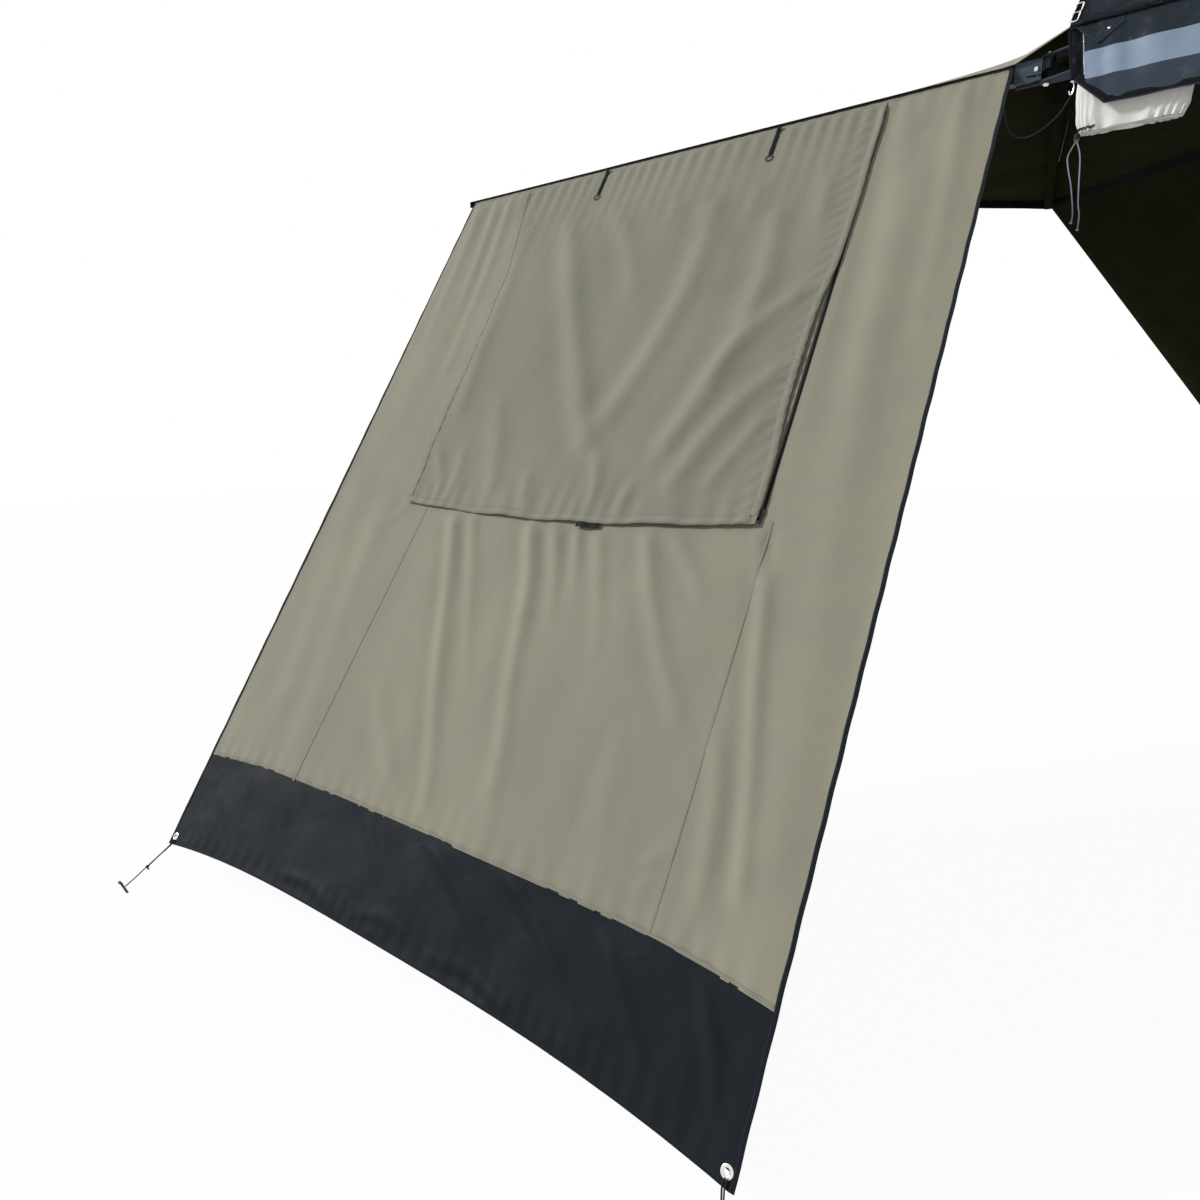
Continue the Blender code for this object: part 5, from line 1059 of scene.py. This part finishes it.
def guyRope(side, u, lean):
    # one strand runs to the peg, a second lies beside it from the eyelet to the knot
    hem = float(hemV(u))
    out = 0.0018 + rope["diameter"] / 2
    start, over = onWall(u, hem - 0.011, out), onWall(u, hem + 0.006, out + 0.0015)
    corner = onWall(u, hem)
    end = Vector((corner.x + lean, corner.y - rope["out"], ground + rope["lift"]))
    sag = Vector((0, 0, -0.001))
    turns = [start, over, over.lerp(end, 0.35) + sag, over.lerp(end, 0.7) + sag, end]
    piece, route = cordPiece(f"guyRope{side}", turns, rope["diameter"], "wall", "black_rope",
                             f"guy_rope_{side.lower()}")
    place = over.lerp(end, rope["knotAt"]) + Vector((0, 0, -0.0022))
    knot = knotted(f"guyKnot{side}", place, rope["knot"])
    tails = []
    for reach in (Vector((0.011, -0.004, -0.004)), Vector((0.006, 0.002, -0.010))):
        bend = [place, place + reach * 0.5 + Vector((0, 0, 0.001)), place + reach]
        tails.append(tubeMesh("tail", smoothRoute(bend, 0.002), rope["tail"], 8))
    tail = asPiece(f"guyTail{side}", joined("tails", tails), "wall", "black_rope")
    freeCord(piece, route, rope["diameter"], far_end="fitting", lay="taut",
             with_pieces=[knot, tail, f"peg_{side.lower()}"])
    aside = Vector((0.0038, 0, 0.0004))
    turns = [start + aside * 1.3, over + aside * 1.3, over.lerp(end, 0.26) + aside * 0.85,
             place + aside * 0.4]
    thin = rope["diameter"] * rope["twin"]
    twin, route = cordPiece(f"guyStrand{side}", turns, thin, "wall", "black_rope")
    freeCord(twin, route, thin, far_end="knot", lay="taut")


def drawcord(name, half, points):
    spec = {"diameter": 0.0032, "lock": Vector((-0.4080, 0.0861, -0.1656)), "drop": 0.0091, "knot": 0.0030}
    start = spec["lock"] + Vector((half, 0, -spec["drop"]))
    turns = [start, start + Vector((0, 0, -0.010))] + [Vector((x, start.y, z)) for x, z in points]
    piece, route = cordPiece(f"drawcord{name}", turns, spec["diameter"], "root", "pale_cord", "drawcord",
                             "paleCord")
    knot = knotted(f"drawcordKnot{name}", route[-1] + Vector((0, 0, spec["knot"])), spec["knot"], "paleCord",
                   "root", "pale_cord")
    freeCord(piece, route, spec["diameter"], far_end="knot", lay="hanging",
             with_pieces=[knot, "cord_lock"] if name == "Left" else [knot])


def elasticCord():
    spec = {"diameter": 0.0040, "hook": Vector((-0.4275, 0.0435, -0.0880))}
    start = onWall(wall["width"] + 0.0023, 0.156, -0.001)
    turns = [start] + [start + Vector(step) for step in ((0.016, 0.003, -0.050), (0.050, 0.005, -0.073),
                                                         (0.089, 0.006, -0.063), (0.126, 0.007, -0.034))]
    piece, route = cordPiece("elasticCord", turns + [spec["hook"]], spec["diameter"], "root", "black_rope",
                             "elastic_cord")
    freeCord(piece, route, spec["diameter"], far_end="fitting", lay="hanging", with_pieces=["cord_hook"])


for (side, u), lean in zip(eyeletPlaces, rope["lean"]):
    guyRope(side, u, lean)
drawcord("Left", -0.0022, ((-0.4231, -0.2134), (-0.4201, -0.2412), (-0.4080, -0.2909), (-0.3980, -0.3525),
                           (-0.3993, -0.3800)))
drawcord("Right", 0.0022, ((-0.3960, -0.2187), (-0.3916, -0.2784), (-0.3882, -0.3301), (-0.3826, -0.3609),
                           (-0.3828, -0.3994)))
elasticCord()
print("cords made")


# Canopy: two curved bays from the hub's post to the outer hem, with a band below the hem

pivot = Vector((-0.5, 0.1461, 0.0267))
canopy = {
    "apex": Vector((-0.400, 0.0941, 0.1132)),
    "nearTip": Vector((-2.620, 0.1195, 0.0455)),
    "farTip": Vector((-0.7320, 2.1832, 0.2092)),
    "railTip": Vector((1.725, 0.0833, 0.1127)),
    "knee": Vector((-0.579, 0.1195, 0.0455)),
    "step": Vector((0.0006, 0, 0)),
    "bow": 0.03,
    "sag": 0.014,
    "pull": 0.0035,
    "thickness": 0.0012,
    "columns": 72,
    "rows": 60,
}
apex = canopy["apex"]
rearFan = {"bodies": ("far_arm", "near_arm"), "angles": (97.55, 178.0)}
frontFan = {"bodies": ("root", "far_arm"), "angles": (-2.0, 97.0)}


def toPost(spot):
    # the level direction from a point of the hem to the post
    return (Vector((apex.x, apex.y, spot.z)) - spot).normalized()


def hemPoint(start, end, share):
    flat = start.lerp(end, share)
    return flat + toPost(flat) * (canopy["bow"] * math.sin(math.pi * share))


def fanBlend(piece, bodies, angles):
    # each point turns about the hub with its share of the angle between two arms
    first, last = (math.radians(a) for a in angles)
    start, end = (pivot + Vector((math.cos(a), math.sin(a), 0)) for a in (first, last))
    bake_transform(piece, *bodies, start=tuple(start), end=tuple(end))
    layer = piece.data.attributes["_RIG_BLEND"]
    for i, vertex in enumerate(piece.data.vertices):
        angle = math.atan2(vertex.co.y - pivot.y, vertex.co.x - pivot.x)
        angle += fullTurn if angle < -math.pi / 2 else 0
        layer.data[i].value = min(1.0, max(0.0, (angle - first) / (last - first)))


def canopyBay(name, start, end, knee, fan, replaced):
    def spotAt(c, r):
        share = c / canopy["columns"]
        outer = hemPoint(start, end, share)
        s = max((r / canopy["rows"]) ** 1.15, 0.012)
        spot = apex.lerp(outer, s)
        if knee and s < 1:
            # the bay's side follows the post, the knuckle and then the arm
            reach = (knee - apex).length / (start - apex).length
            side = apex.lerp(knee, s / reach) if s <= reach else knee.lerp(start, (s - reach) / (1 - reach))
            spot = spot.lerp(side, 1 - float(easeIn(share, 0.0, 0.85)))
        dip = canopy["sag"] * math.sin(math.pi * share) ** 1.2 * math.sin(math.pi * s) ** 0.8
        pull = canopy["pull"] * math.sin(share * 46 + 3 * math.sin(share * 9))
        pull *= math.sin(math.pi * share) ** 0.6
        pull *= math.sin(math.pi * s) ** 1.5 * (1 - 0.4 * s)
        flat = share * (end - start).length * s + 0.3, (outer - apex).length * s
        return spot + Vector((0, 0, canopy["thickness"] - dip + pull)), flat

    # the top side takes the canvas, and the underside and rim take the near-black copy, which is painted
    # shade
    piece = clothFrom(name, *clothGrid(canopy["columns"], canopy["rows"], spotAt), canopy["thickness"],
                      "canopyTop", "canopyUnder", slotName="canopy_canvas", rim=1)
    turnFront(piece, Vector((0, 0, 1)))
    fanBlend(piece, **fan)
    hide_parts(replaced)


def valance(name, start, end, first, last, fan):
    tops = [hemPoint(start, end, c / 90) for c in range(91)]
    marks = marksAlong(tops)

    def spotAt(r, c):
        share, s = c / 90, r / 8
        drop = first + (last - first) * share
        wave = 0.0022 * math.sin(share * 70 + 2 * math.sin(share * 11)) * s
        spot = tops[c] + toPost(tops[c]) * (0.0016 + wave) + Vector((0, 0, 0.0022 - (drop + 0.0022) * s))
        return spot, (marks[c], drop * s)

    piece = clothFrom(name, *clothGrid(8, 90, spotAt), 0.0014, "blackTape", slotName="black_trim")
    fanBlend(piece, **fan)
    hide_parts("canopy_valance")


def farWall():
    spec = {"columns": 110, "rows": 90, "hang": -0.028, "hangMore": -0.022, "clear": 0.03, "slant": 1.02,
            "thickness": 0.0012}
    start, end = canopy["farTip"] + canopy["step"], canopy["railTip"]
    along = Vector((end.x - start.x, end.y - start.y, 0)).normalized()
    outward = Vector((-along.y, along.x, 0))
    lines = []
    for c in range(spec["columns"] + 1):
        share = 0.004 + 0.996 * c / spec["columns"]
        hang = hemPoint(start, end, share) + Vector((0, 0, spec["hang"] + spec["hangMore"] * share))
        drop = hang.z - ground - spec["clear"]
        foot = hang + outward * (drop / math.tan(wall["slope"])) + along * (spec["slant"] * (1 - share))
        lines.append((share, hang, foot - Vector((0, 0, drop))))

    def spotAt(r, c):
        s = r / spec["rows"]
        share, hang, foot = lines[c]
        wave = 0.006 * math.sin(share * 34 + 2 * math.sin(share * 7))
        wave *= math.sin(math.pi * min(1, s * 1.1)) ** 2
        return hang.lerp(foot, s) + outward * (0.001 + wave), (share * 3.2, (foot - hang).length * s)

    # outside takes the canvas, and inside takes the near-black copy, which is painted shade
    piece = clothFrom("farWall", *clothGrid(spec["rows"], spec["columns"], spotAt), spec["thickness"],
                      "canopyTop", "farInner", slotName="canopy_canvas")
    turnFront(piece, outward)
    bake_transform(piece, "root", "far_arm", start=tuple(end), end=tuple(start))
    layer = piece.data.attributes["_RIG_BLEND"]
    span, top = (end - start).length, end.z - 0.06
    for i, vertex in enumerate(piece.data.vertices):
        slant = spec["slant"] / span * max(0.0, top - vertex.co.z) / (top - ground - spec["clear"])
        share = (1 - (vertex.co - start).dot(along) / span + slant) / (1 + slant)
        layer.data[i].value = min(1.0, max(0.0, share))
    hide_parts("far_wall_panel")


def sleeve():
    # a pocket under the canopy's middle seam, with a web up to the cloth
    arm = {"angle": 97.55, "offset": -0.0375, "reach": 2.022, "rise": 0.165, "middle": -0.0270, "root": 0.222,
           "length": 1.756, "web": 0.0011}
    turn = Matrix.Rotation(math.radians(arm["angle"]), 4, "Z")
    deck = Vector((-0.5, 0.1461, 0.0412))
    across = turn @ Vector((0, 1, 0))
    near = hemPoint(canopy["nearTip"], canopy["farTip"], 7 / 8)
    plane = (canopy["farTip"] - apex).cross(near - apex)
    rings, around = [], []
    for i in range(91):
        x = arm["root"] + arm["length"] * i / 90
        centre = turn @ Vector((x, arm["offset"], arm["middle"] + arm["rise"] / arm["reach"] * x)) + deck
        gap = centre - apex
        rise = apex.z - (plane.x * gap.x + plane.y * gap.y) / plane.z - 0.0014 - centre.z
        puff = 0.0006 * math.sin(i * 0.9) + 0.0006 * math.sin(i * 0.37)
        w, h, web = 0.0172 + puff, 0.0142 + puff, arm["web"]
        half = [(w, -h + 0.003), (w, h - 0.004), (w - 0.006, h), (web + 0.002, h + 0.002), (web, h + 0.006),
                (web, rise)]
        outline = [(-w, -h + 0.003), (-w + 0.003, -h), (w - 0.003, -h)] + half
        outline += [(-a, b) for a, b in reversed(half[1:])]
        rings.append([centre + across * a + Vector((0, 0, b)) for a, b in outline])
        marks = [sum(math.dist(a, b) for a, b in zip(outline[:j], outline[1:])) for j in range(len(outline))]
        around.append(marks + [marks[-1] + 0.02])
    made = skinRings(rings, [a * 0.0195 for a in range(len(rings))], around)[0]
    # the sleeve's near-black cloth is painted shade
    asPiece("armSleeve", meshFrom(made, "armSleeve", "sleeve", math.radians(60)), "far_arm", "canopy_canvas",
            "far_arm_sleeve")


canopyBay("rearBay", canopy["nearTip"], canopy["farTip"], canopy["knee"], rearFan, "canopy_rear_bay")
canopyBay("frontBay", canopy["farTip"] + canopy["step"], canopy["railTip"], None, frontFan,
          "canopy_front_bay")
valance("rearValance", canopy["nearTip"], canopy["farTip"], 0.020, 0.034, rearFan)
valance("frontValance", canopy["farTip"], canopy["railTip"], 0.034, 0.060, frontFan)
farWall()
sleeve()
print("canopy made")


# Travel bag on the rail: a rolled body, its lid thrown back with the lining out, an end panel, a corner flap

bag = {
    "start": -0.453, "end": 1.705, "lean": 0.337,
    "near": 0.0205, "far": 0.0795, "low": 0.0648, "high": 0.2035,
    "face": 0.0390, "panelFace": 0.0420, "fold": -0.0568, "foot": -0.1158, "tuck": 0.016, "top": 0.0638,
    "shade": 0.004, "edgeAt": -0.4194, "edgeTop": -0.0588, "edgeSlope": 0.872,
    "brackets": (0.0, 1.22), "notch": 0.0455,
}
towardsView = Vector((0, -1, 0))


def squared(angle, power):
    # a point of the unit circle, pushed out towards a square
    return [math.copysign(abs(part) ** power, part) for part in (math.cos(angle), math.sin(angle))]


def rough(x, y, z, octaves=3):
    return noise.fractal(Vector((x, y, z)), 1.0, 2.0, octaves)


def loftShell(name, rings, finish, steps, bulge, pleats):
    # rings of points from one end to the other, closed with domed and pleated ends
    count = len(rings[0])

    def cap(ring, outward):
        middle = sum(ring, Vector()) / count
        made = []
        for share in (step / (steps + 1) for step in range(1, steps + 1)):
            dome = bulge * math.sin(math.pi / 2 * min(1, share * 1.6))
            pleat = pleats * math.sin(math.pi * share)
            made.append([p.lerp(middle, share ** 0.9)
                         + outward * (dome + pleat * math.sin(k * fullTurn * 9 / count))
                         for k, p in enumerate(ring)])
        return made, middle + outward * bulge

    starts, startTip = cap(rings[0], (rings[0][0] - rings[1][0]).normalized())
    ends, endTip = cap(rings[-1], (rings[-1][0] - rings[-2][0]).normalized())
    whole = starts[::-1] + rings + ends
    along = [0.0]
    for a, b in zip(whole, whole[1:]):
        along.append(along[-1] + max((b[0] - a[0]).length, 0.0005))
    around = [marksAlong(rings[0] + rings[0][:1])] * len(whole)
    made, levels, layer = skinRings(whole, along, around, capped=False)
    for level, tip in ((levels[0][::-1], startTip), (levels[-1], endTip)):
        point = made.verts.new(tip)
        for k in range(count):
            face = made.faces.new((point, level[k], level[(k + 1) % count]))
            face.smooth = True
            for corner in face.loops:
                corner[layer].uv = (corner.vert.co.x, corner.vert.co.z)
    return meshFrom(made, name, finish)


def bagRoll():
    spec = {"around": 56, "along": 260, "square": 0.42, "wrinkle": 0.0034, "sag": 0.010}
    middleY, halfY = (bag["near"] + bag["far"]) / 2, (bag["far"] - bag["near"]) / 2
    middleZ, halfZ = (bag["low"] + bag["high"]) / 2, (bag["high"] - bag["low"]) / 2
    rings = []
    for i in range(spec["along"] + 1):
        s = (i / spec["along"]) ** 1.25
        ring = []
        for a in (fullTurn * k / spec["around"] for k in range(spec["around"])):
            ca, sa = squared(a, spec["square"])
            y, z = middleY + halfY * ca, middleZ + halfZ * sa
            start = bag["start"] + (z - 0.0412) * bag["lean"]
            x = start + (bag["end"] - start) * s
            crease = abs(rough(x * 9 + a * 2.2, a * 2.5, 9.0))
            inward = spec["wrinkle"] * (0.5 + rough(x * 5.5, a * 1.6, 3.0, 4) * 0.9)
            inward += 0.008 * max(0, 0.25 - crease)
            sag = spec["sag"] * max(0.0, math.sin(a)) * (0.5 + 0.5 * math.sin(x * 3.1 + 1.2)) * min(1, s * 30)
            normal = Vector((0, math.cos(a) / halfY, math.sin(a) / halfZ)).normalized()
            ring.append(Vector((x, y, z - sag)) - normal * inward)
        rings.append(ring)
    data = loftShell("bagRoll", rings, "bag", 7, -0.006, 0.0022)
    asPiece("bagRoll", data, "root", "bag_fabric", "travel_bag_roll")


def endShare(z):
    # how far down the bag's slanting end a height lies
    return (0.0722 - z) / 0.1235


def lidEdgeAt(z):
    # the lid's lower part is cut on a slant at its hub end
    return bag["edgeAt"] + max(0.0, bag["edgeTop"] - z) / bag["edgeSlope"]


def bagCover():
    spec = {"columns": 300, "rows": 44, "upper": 29, "notchFoot": 0.0564, "thickness": 0.0018}
    top, fold, foot, upper = bag["top"], bag["fold"], bag["foot"], spec["upper"]

    def spotAt(r, c):
        t = max(0.0, (r - upper) / (spec["rows"] - upper))
        z = fold + (foot - fold) * t if t else top + (fold - top) * r / upper
        start = lidEdgeAt(z) if t else -0.4164 + 0.0155 * endShare(z)
        x = start + (bag["end"] - start) * (c / spec["columns"]) ** 1.3
        wave = 0.0026 * math.sin(x * 62 + 2.4 * math.sin(x * 17) + z * 16)
        wave += 0.0022 * rough(x * 13, z * 22, 1.7)
        wave *= math.sin(math.pi * min(1, max(0.0, (top - z) / 0.09)) / 2)
        calm = (1 - t) * min(1.0, max(0.0, (x - start - 0.008) / 0.03))
        y = bag["face"] + 0.0015 + min(0.0012, (wave - 0.001) * calm)
        y += bag["tuck"] * t - 0.002 * math.sin(math.pi * t) * (1 + math.sin(x * 40)) * calm
        return (x, y, z), (x, top - fold + (fold - z) * 1.04 if t else top - z)

    def overBracket(x, low):
        near = np.any([np.abs(x - at) < bag["notch"] for at in bag["brackets"]], 0)
        return near & (low > top - spec["notchFoot"])

    piece = clothFrom("bagCover", *clothGrid(spec["rows"], spec["columns"], spotAt), spec["thickness"],
                      "lining", "bag", skip=overBracket, slotName="bag_lining")
    turnFront(piece, towardsView)
    # the third material, the darker copy of the lining, is painted shade on the lid's lower facet
    piece.data.materials.append(finishes["liningPaintedShade"])
    # faces above bag['shade'] take the black bag cloth, partly the lid's black upper strip and partly painted
    # shade under the lid; faces below the fold take the painted-shade lining copy
    for p in piece.data.polygons:
        if p.center.z > bag["shade"]:
            p.material_index = 1
        elif p.center.z < fold and p.material_index == 0:
            p.material_index = 2
    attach(piece, "root")
    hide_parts("travel_bag_cover")


def bagTrims():
    # black rim with a pale edge along the lid's slanted end and its foot, open at each bracket
    slant = Vector((1, 0, -bag["edgeSlope"])).normalized()
    inward = Vector((-slant.z, 0, slant.x))
    side, out = Vector((0, 0.26, -0.965)), Vector((0, -0.965, -0.26))
    first, second = bag["brackets"]
    spans = ((lidEdgeAt(bag["foot"]), first - bag["notch"]), (first + bag["notch"], second - bag["notch"]),
             (second + bag["notch"], bag["end"] - 0.002))
    head = bag["edgeTop"] + 0.004
    for name, slot, finish, width, thick, shift, lift, back, rise in (
        ("lidRim", "black_trim", "blackTape", 0.015, 0.0030, 0.0085, 0.0004, -0.0008, 0.008),
        ("lidEdge", "bag_lining", "slate", 0.0030, 0.0036, 0.0008, 0.0012, 0.0012, 0.0008),
    ):
        points = []
        for z in (head + (bag["foot"] - head) * i / 24 for i in range(25)):
            depth = bag["tuck"] * max(0.0, (z - bag["fold"]) / (bag["foot"] - bag["fold"]))
            x = bag["edgeAt"] + (bag["edgeTop"] - z) / bag["edgeSlope"]
            points.append(Vector((x, bag["face"] + depth - 0.0010 - lift, z)) + inward * shift)
        made = [tapeMesh("slant", points, inward, towardsView, width, thick, finish)]
        for low, high in spans:
            count = max(12, int((high - low) / 0.012))
            xs = [low + (high - low) * i / count for i in range(count + 1)]
            points = [Vector((x, bag["face"] + bag["tuck"] + back,
                              bag["foot"] + rise + 0.0008 * math.sin(x * 50))) for x in xs]
            made.append(tapeMesh("foot", points, side, out, width, thick, finish))
        asPiece(name, joined(name, made), "root", slot, "travel_bag_cover")


def bagEndPanel():
    spec = {"columns": 20, "rows": 60, "thickness": 0.0024, "top": 0.0638, "foot": -0.0513, "seam": 0.0022}
    top, foot = spec["top"], spec["foot"]

    def sidesAt(z):
        return -0.450 + 0.019 * endShare(z), -0.417 + 0.0155 * endShare(z)

    def spotAt(r, c):
        s, a = r / spec["rows"], c / spec["columns"]
        z = top + (foot - top) * s
        left, right = sidesAt(z)
        x = left + (right - left) * a
        puff = math.sin(math.pi * a) * math.sin(math.pi * s) ** 0.5
        return (x, bag["panelFace"] + 0.0015 - 0.0018 * puff * (0.7 + rough(x * 60, z * 32, 4.4)), z), (x, z)

    piece = clothFrom("bagEndPanel", *clothGrid(spec["rows"], spec["columns"], spotAt), spec["thickness"],
                      "bagPanel", body="root", slotName="bag_fabric", replaced="travel_bag_end_panel")
    heights = [top - 0.002 + (foot + 0.004 - top) * i / 39 for i in range(40)]
    edges = [tapeMesh("edge",
                      [Vector((sidesAt(z)[n] + shift, bag["panelFace"] - 0.0001, z)) for z in heights],
                      Vector((1, 0, 0)), towardsView, 0.0052, 0.0022, "blackTape")
             for n, shift in ((0, spec["seam"]), (1, -spec["seam"]))]
    asPiece("endPanelBinding", joined("endPanelBinding", edges), "root", "black_trim", "travel_bag_end_panel")
    coil = []
    for i in range(120):
        z = 0.0560 - 0.100 * i / 119
        x = sidesAt(z)[1] + 0.0006 + 0.0013 * math.sin(i * 0.9)
        coil.append(Vector((x, bag["panelFace"] - 0.0012, z)))
    asPiece("endPanelCoil", tubeMesh("endPanelCoil", coil, 0.0011, 8, finish="nickel"), "root",
            "fitting_metal", "travel_bag_end_panel")


def cornerFlap():
    spec = {"face": 0.0367, "middle": 0.0377, "columns": 44, "rows": 26, "top": 0.0630, "thickness": 0.0013,
            "rivet": (-0.3605, 0.0371, 0.0440)}
    lower = [(-0.440, 0.0682), (-0.423, 0.0552), (-0.382, 0.0178), (-0.371, 0.0225), (-0.330, 0.0532),
             (-0.330, 0.0632)]
    top = spec["top"]
    xs = np.linspace(-0.438, -0.3305, spec["columns"] + 1)
    lowAt = np.minimum(np.interp(xs, *zip(*lower)), top - 0.0008)
    lowAt[-1] = min(lowAt[-1], top - 0.006)

    def spotAt(r, c):
        x, z = xs[c], top + (lowAt[c] - top) * r / spec["rows"]
        curl = 0.0009 * math.sin(x * 120 + z * 90) + 0.0012 * rough(x * 70, z * 70, 2.2)
        return (x, spec["middle"] + min(0.0006, curl - 0.0004), z), (x, z)

    piece = clothFrom("cornerFlap", *clothGrid(spec["rows"], spec["columns"], spotAt), spec["thickness"],
                      "bag", body="root", slotName="bag_fabric", replaced="travel_bag_corner_flap")
    line = [Vector((x, spec["face"] - 0.0002, z + 0.0008)) for x, z in lower[1:5]]
    route = [a.lerp(b, i / 10) for a, b in zip(line, line[1:]) for i in range(10)] + [line[-1]]
    trim = tapeMesh("cornerTrim", route, None, towardsView, 0.0026, 0.0026, "slate")
    asPiece("cornerTrim", trim, "root", "fitting_metal", "travel_bag_corner_flap")
    dome = [(0, 0), (0, 0.0030), (0.0008, 0.0030), (0.0016, 0.0022), (0.0019, 0.0010), (0.0020, 0)]
    rivet = spun("cornerRivet", Vector(spec["rivet"]), towardsView, dome, 20)
    asPiece("cornerRivet", rivet, "root", "fitting_metal", "travel_bag_corner_flap")


def strapAndBuckle():
    spec = {"width": 0.013, "thick": 0.0017, "face": 0.0197, "low": 0.0753, "high": 0.1823, "wide": 0.020,
            "tall": 0.040, "wire": 0.0015, "bend": 0.004}
    lean, middle = Vector((bag["lean"], 0, 1)), Vector((-0.4305, 0, 0.0887))
    points = []
    for i in range(40):
        z = spec["low"] + (spec["high"] - spec["low"]) * i / 39
        level = spec["face"] - 0.001 + 0.0004 * math.sin(i * 0.5)
        points.append(middle + lean * (z - middle.z) + Vector((0, level, 0)))
    strap = tapeMesh("bagStrap", points, Vector((1, 0, 0)), towardsView, spec["width"], spec["thick"],
                     "webbing")
    asPiece("bagStrap", strap, "root", "strap_webbing", "bag_strap")
    halfW, halfH, bend = spec["wide"] / 2 - spec["wire"], spec["tall"] / 2 - spec["wire"], spec["bend"]
    y = spec["face"] - 0.0023 - spec["wire"]
    loops = []
    for low, high in ((-halfH, 0.0), (0.0, halfH)):
        spots = []
        for x, z, start in ((halfW, high, 0), (-halfW, high, 90), (-halfW, low, 180), (halfW, low, 270)):
            x -= math.copysign(bend, x)
            z -= math.copysign(bend, z - (low + high) / 2)
            for a in (math.radians(start + d) for d in (0, 30, 60, 90)):
                spot = middle + lean * (z + bend * math.sin(a))
                spots.append(spot + Vector((x + bend * math.cos(a), y, 0)))
        loops.append(tubeMesh("loop", spots, spec["wire"], 10, True, "nickel"))
    asPiece("bagBuckle", joined("bagBuckle", loops), "root", "fitting_metal", "bag_buckle")


def pegBag():
    spec = {"around": 120, "levels": 70, "near": 0.0681, "far": 0.1281, "top": -0.0112, "foot": -0.1650,
            "square": 0.55, "channelAt": 66, "channel": (55, 82)}
    left = ((0.0108, -0.424), (0.0688, -0.424), (0.1388, -0.418), (0.1653, -0.408))
    middleY, halfY = (spec["near"] + spec["far"]) / 2, (spec["far"] - spec["near"]) / 2 - 0.004
    rings = []
    for s in (i / spec["levels"] for i in range(spec["levels"] + 1)):
        z = spec["top"] + (spec["foot"] - spec["top"]) * s
        low = float(np.interp(-z, *zip(*left)))
        high = -0.594 - low
        middleX, halfX = (low + high) / 2, (high - low) / 2
        ring = []
        for a in (fullTurn * k / spec["around"] for k in range(spec["around"])):
            ca, sa = squared(a, spec["square"])
            x, y = middleX + (halfX - 0.0006) * ca, middleY + halfY * sa
            out = Vector((math.cos(a) / halfX, math.sin(a) / halfY, 0)).normalized()
            gather = 0.0046 * (0.08 + 0.92 * s ** 4) * (1 + math.sin(a * 26 + 2 * math.sin(a * 5)))
            sag = 0.00192 * (1 + rough(x * 24, y * 24, z * 17))
            ring.append(Vector((x, y, z)) - out * (gather + sag))
        rings.append(ring)
    asPiece("pegBag", loftShell("pegBag", rings, "cream", 5, -0.004, 0.003), "root", "cream_cotton",
            "peg_bag")
    ring = rings[spec["channelAt"]]
    middle = sum(ring, Vector()) / len(ring)
    channel = [p + Vector((-0.0005, -0.0006, 0)) for p in ring[slice(*spec["channel"])]]
    outward = [Vector((p.x - middle.x, (p.y - middle.y) * 3, 0)).normalized() for p in channel]
    tape = tapeMesh("pegBagChannel", channel, Vector((0, 0, 1)), outward, 0.007, 0.0016, "slate")
    asPiece("pegBagChannel", tape, "root", "strap_webbing", "peg_bag")


for make in (bagRoll, bagCover, bagTrims, bagEndPanel, cornerFlap, strapAndBuckle, pegBag):
    make()
print("bag made")


# Studio floor, backdrop light and sun

stage = {"size": 40.0, "height": ground - 0.0012, "glow": 0.95, "sun": 3.05, "toSun": (-0.72, -0.44, 0.52),
         "soft": 9, "world": 0.40}


def floor():
    deselect()
    bpy.ops.mesh.primitive_plane_add(size=stage["size"], location=(0, 0, stage["height"]))
    made = bpy.context.object
    made.name = "floor"
    deselect()
    finish = Finish("floorPaint", 0.9)
    cloud = finish.grain(finish.place(), 1.2, 3.0)
    finish.wear(finish.blend(cloud, (0.80, 0.80, 0.80), (0.84, 0.84, 0.84)), None,
                finish.bump(cloud, 0.002, 0.2))
    glow = finish.node("Emission", None, {"Color": (1, 1, 1), "Strength": 1.0})
    path = finish.node("LightPath")
    camera, glossy, through = (Amount(finish, path.outputs[f"Is {kind} Ray"])
                               for kind in ("Camera", "Glossy", "Transmission"))
    seen = finish.maths("MAXIMUM", camera, finish.maths("MAXIMUM", glossy, through))
    mix = finish.node("MixShader", None, {0: seen * stage["glow"], 1: finish.shader.outputs[0],
                                          2: glow.outputs[0]})
    finish.tree.links.new(mix.outputs[0], finish.tree.nodes["Material Output"].inputs["Surface"])
    made.data.materials.append(finish.material)


def studioLight():
    world = bpy.data.worlds.new("studio")
    bpy.context.scene.world = world
    world.use_nodes = True
    tree = world.node_tree
    back = tree.nodes["Background"]
    back.inputs["Color"].default_value = (1, 1, 1, 1)
    path = tree.nodes.new("ShaderNodeLightPath")
    seen = path.outputs["Is Camera Ray"]
    for kind in ("Glossy", "Transmission"):
        both = tree.nodes.new("ShaderNodeMath")
        both.operation = "MAXIMUM"
        tree.links.new(seen, both.inputs[0])
        tree.links.new(path.outputs[f"Is {kind} Ray"], both.inputs[1])
        seen = both.outputs[0]
    strength = tree.nodes.new("ShaderNodeMapRange")
    strength.inputs["To Min"].default_value = stage["world"]
    strength.inputs["To Max"].default_value = 1.0
    tree.links.new(seen, strength.inputs["Value"])
    tree.links.new(strength.outputs["Result"], back.inputs["Strength"])
    data = bpy.data.lights.new("softSun", "SUN")
    data.energy = stage["sun"]
    data.angle = math.radians(stage["soft"])
    lamp = bpy.data.objects.new("softSun", data)
    lamp.rotation_euler = Vector(stage["toSun"]).to_track_quat("Z", "Y").to_euler()
    bpy.context.scene.collection.objects.link(lamp)


floor()
studioLight()
print("studio made")
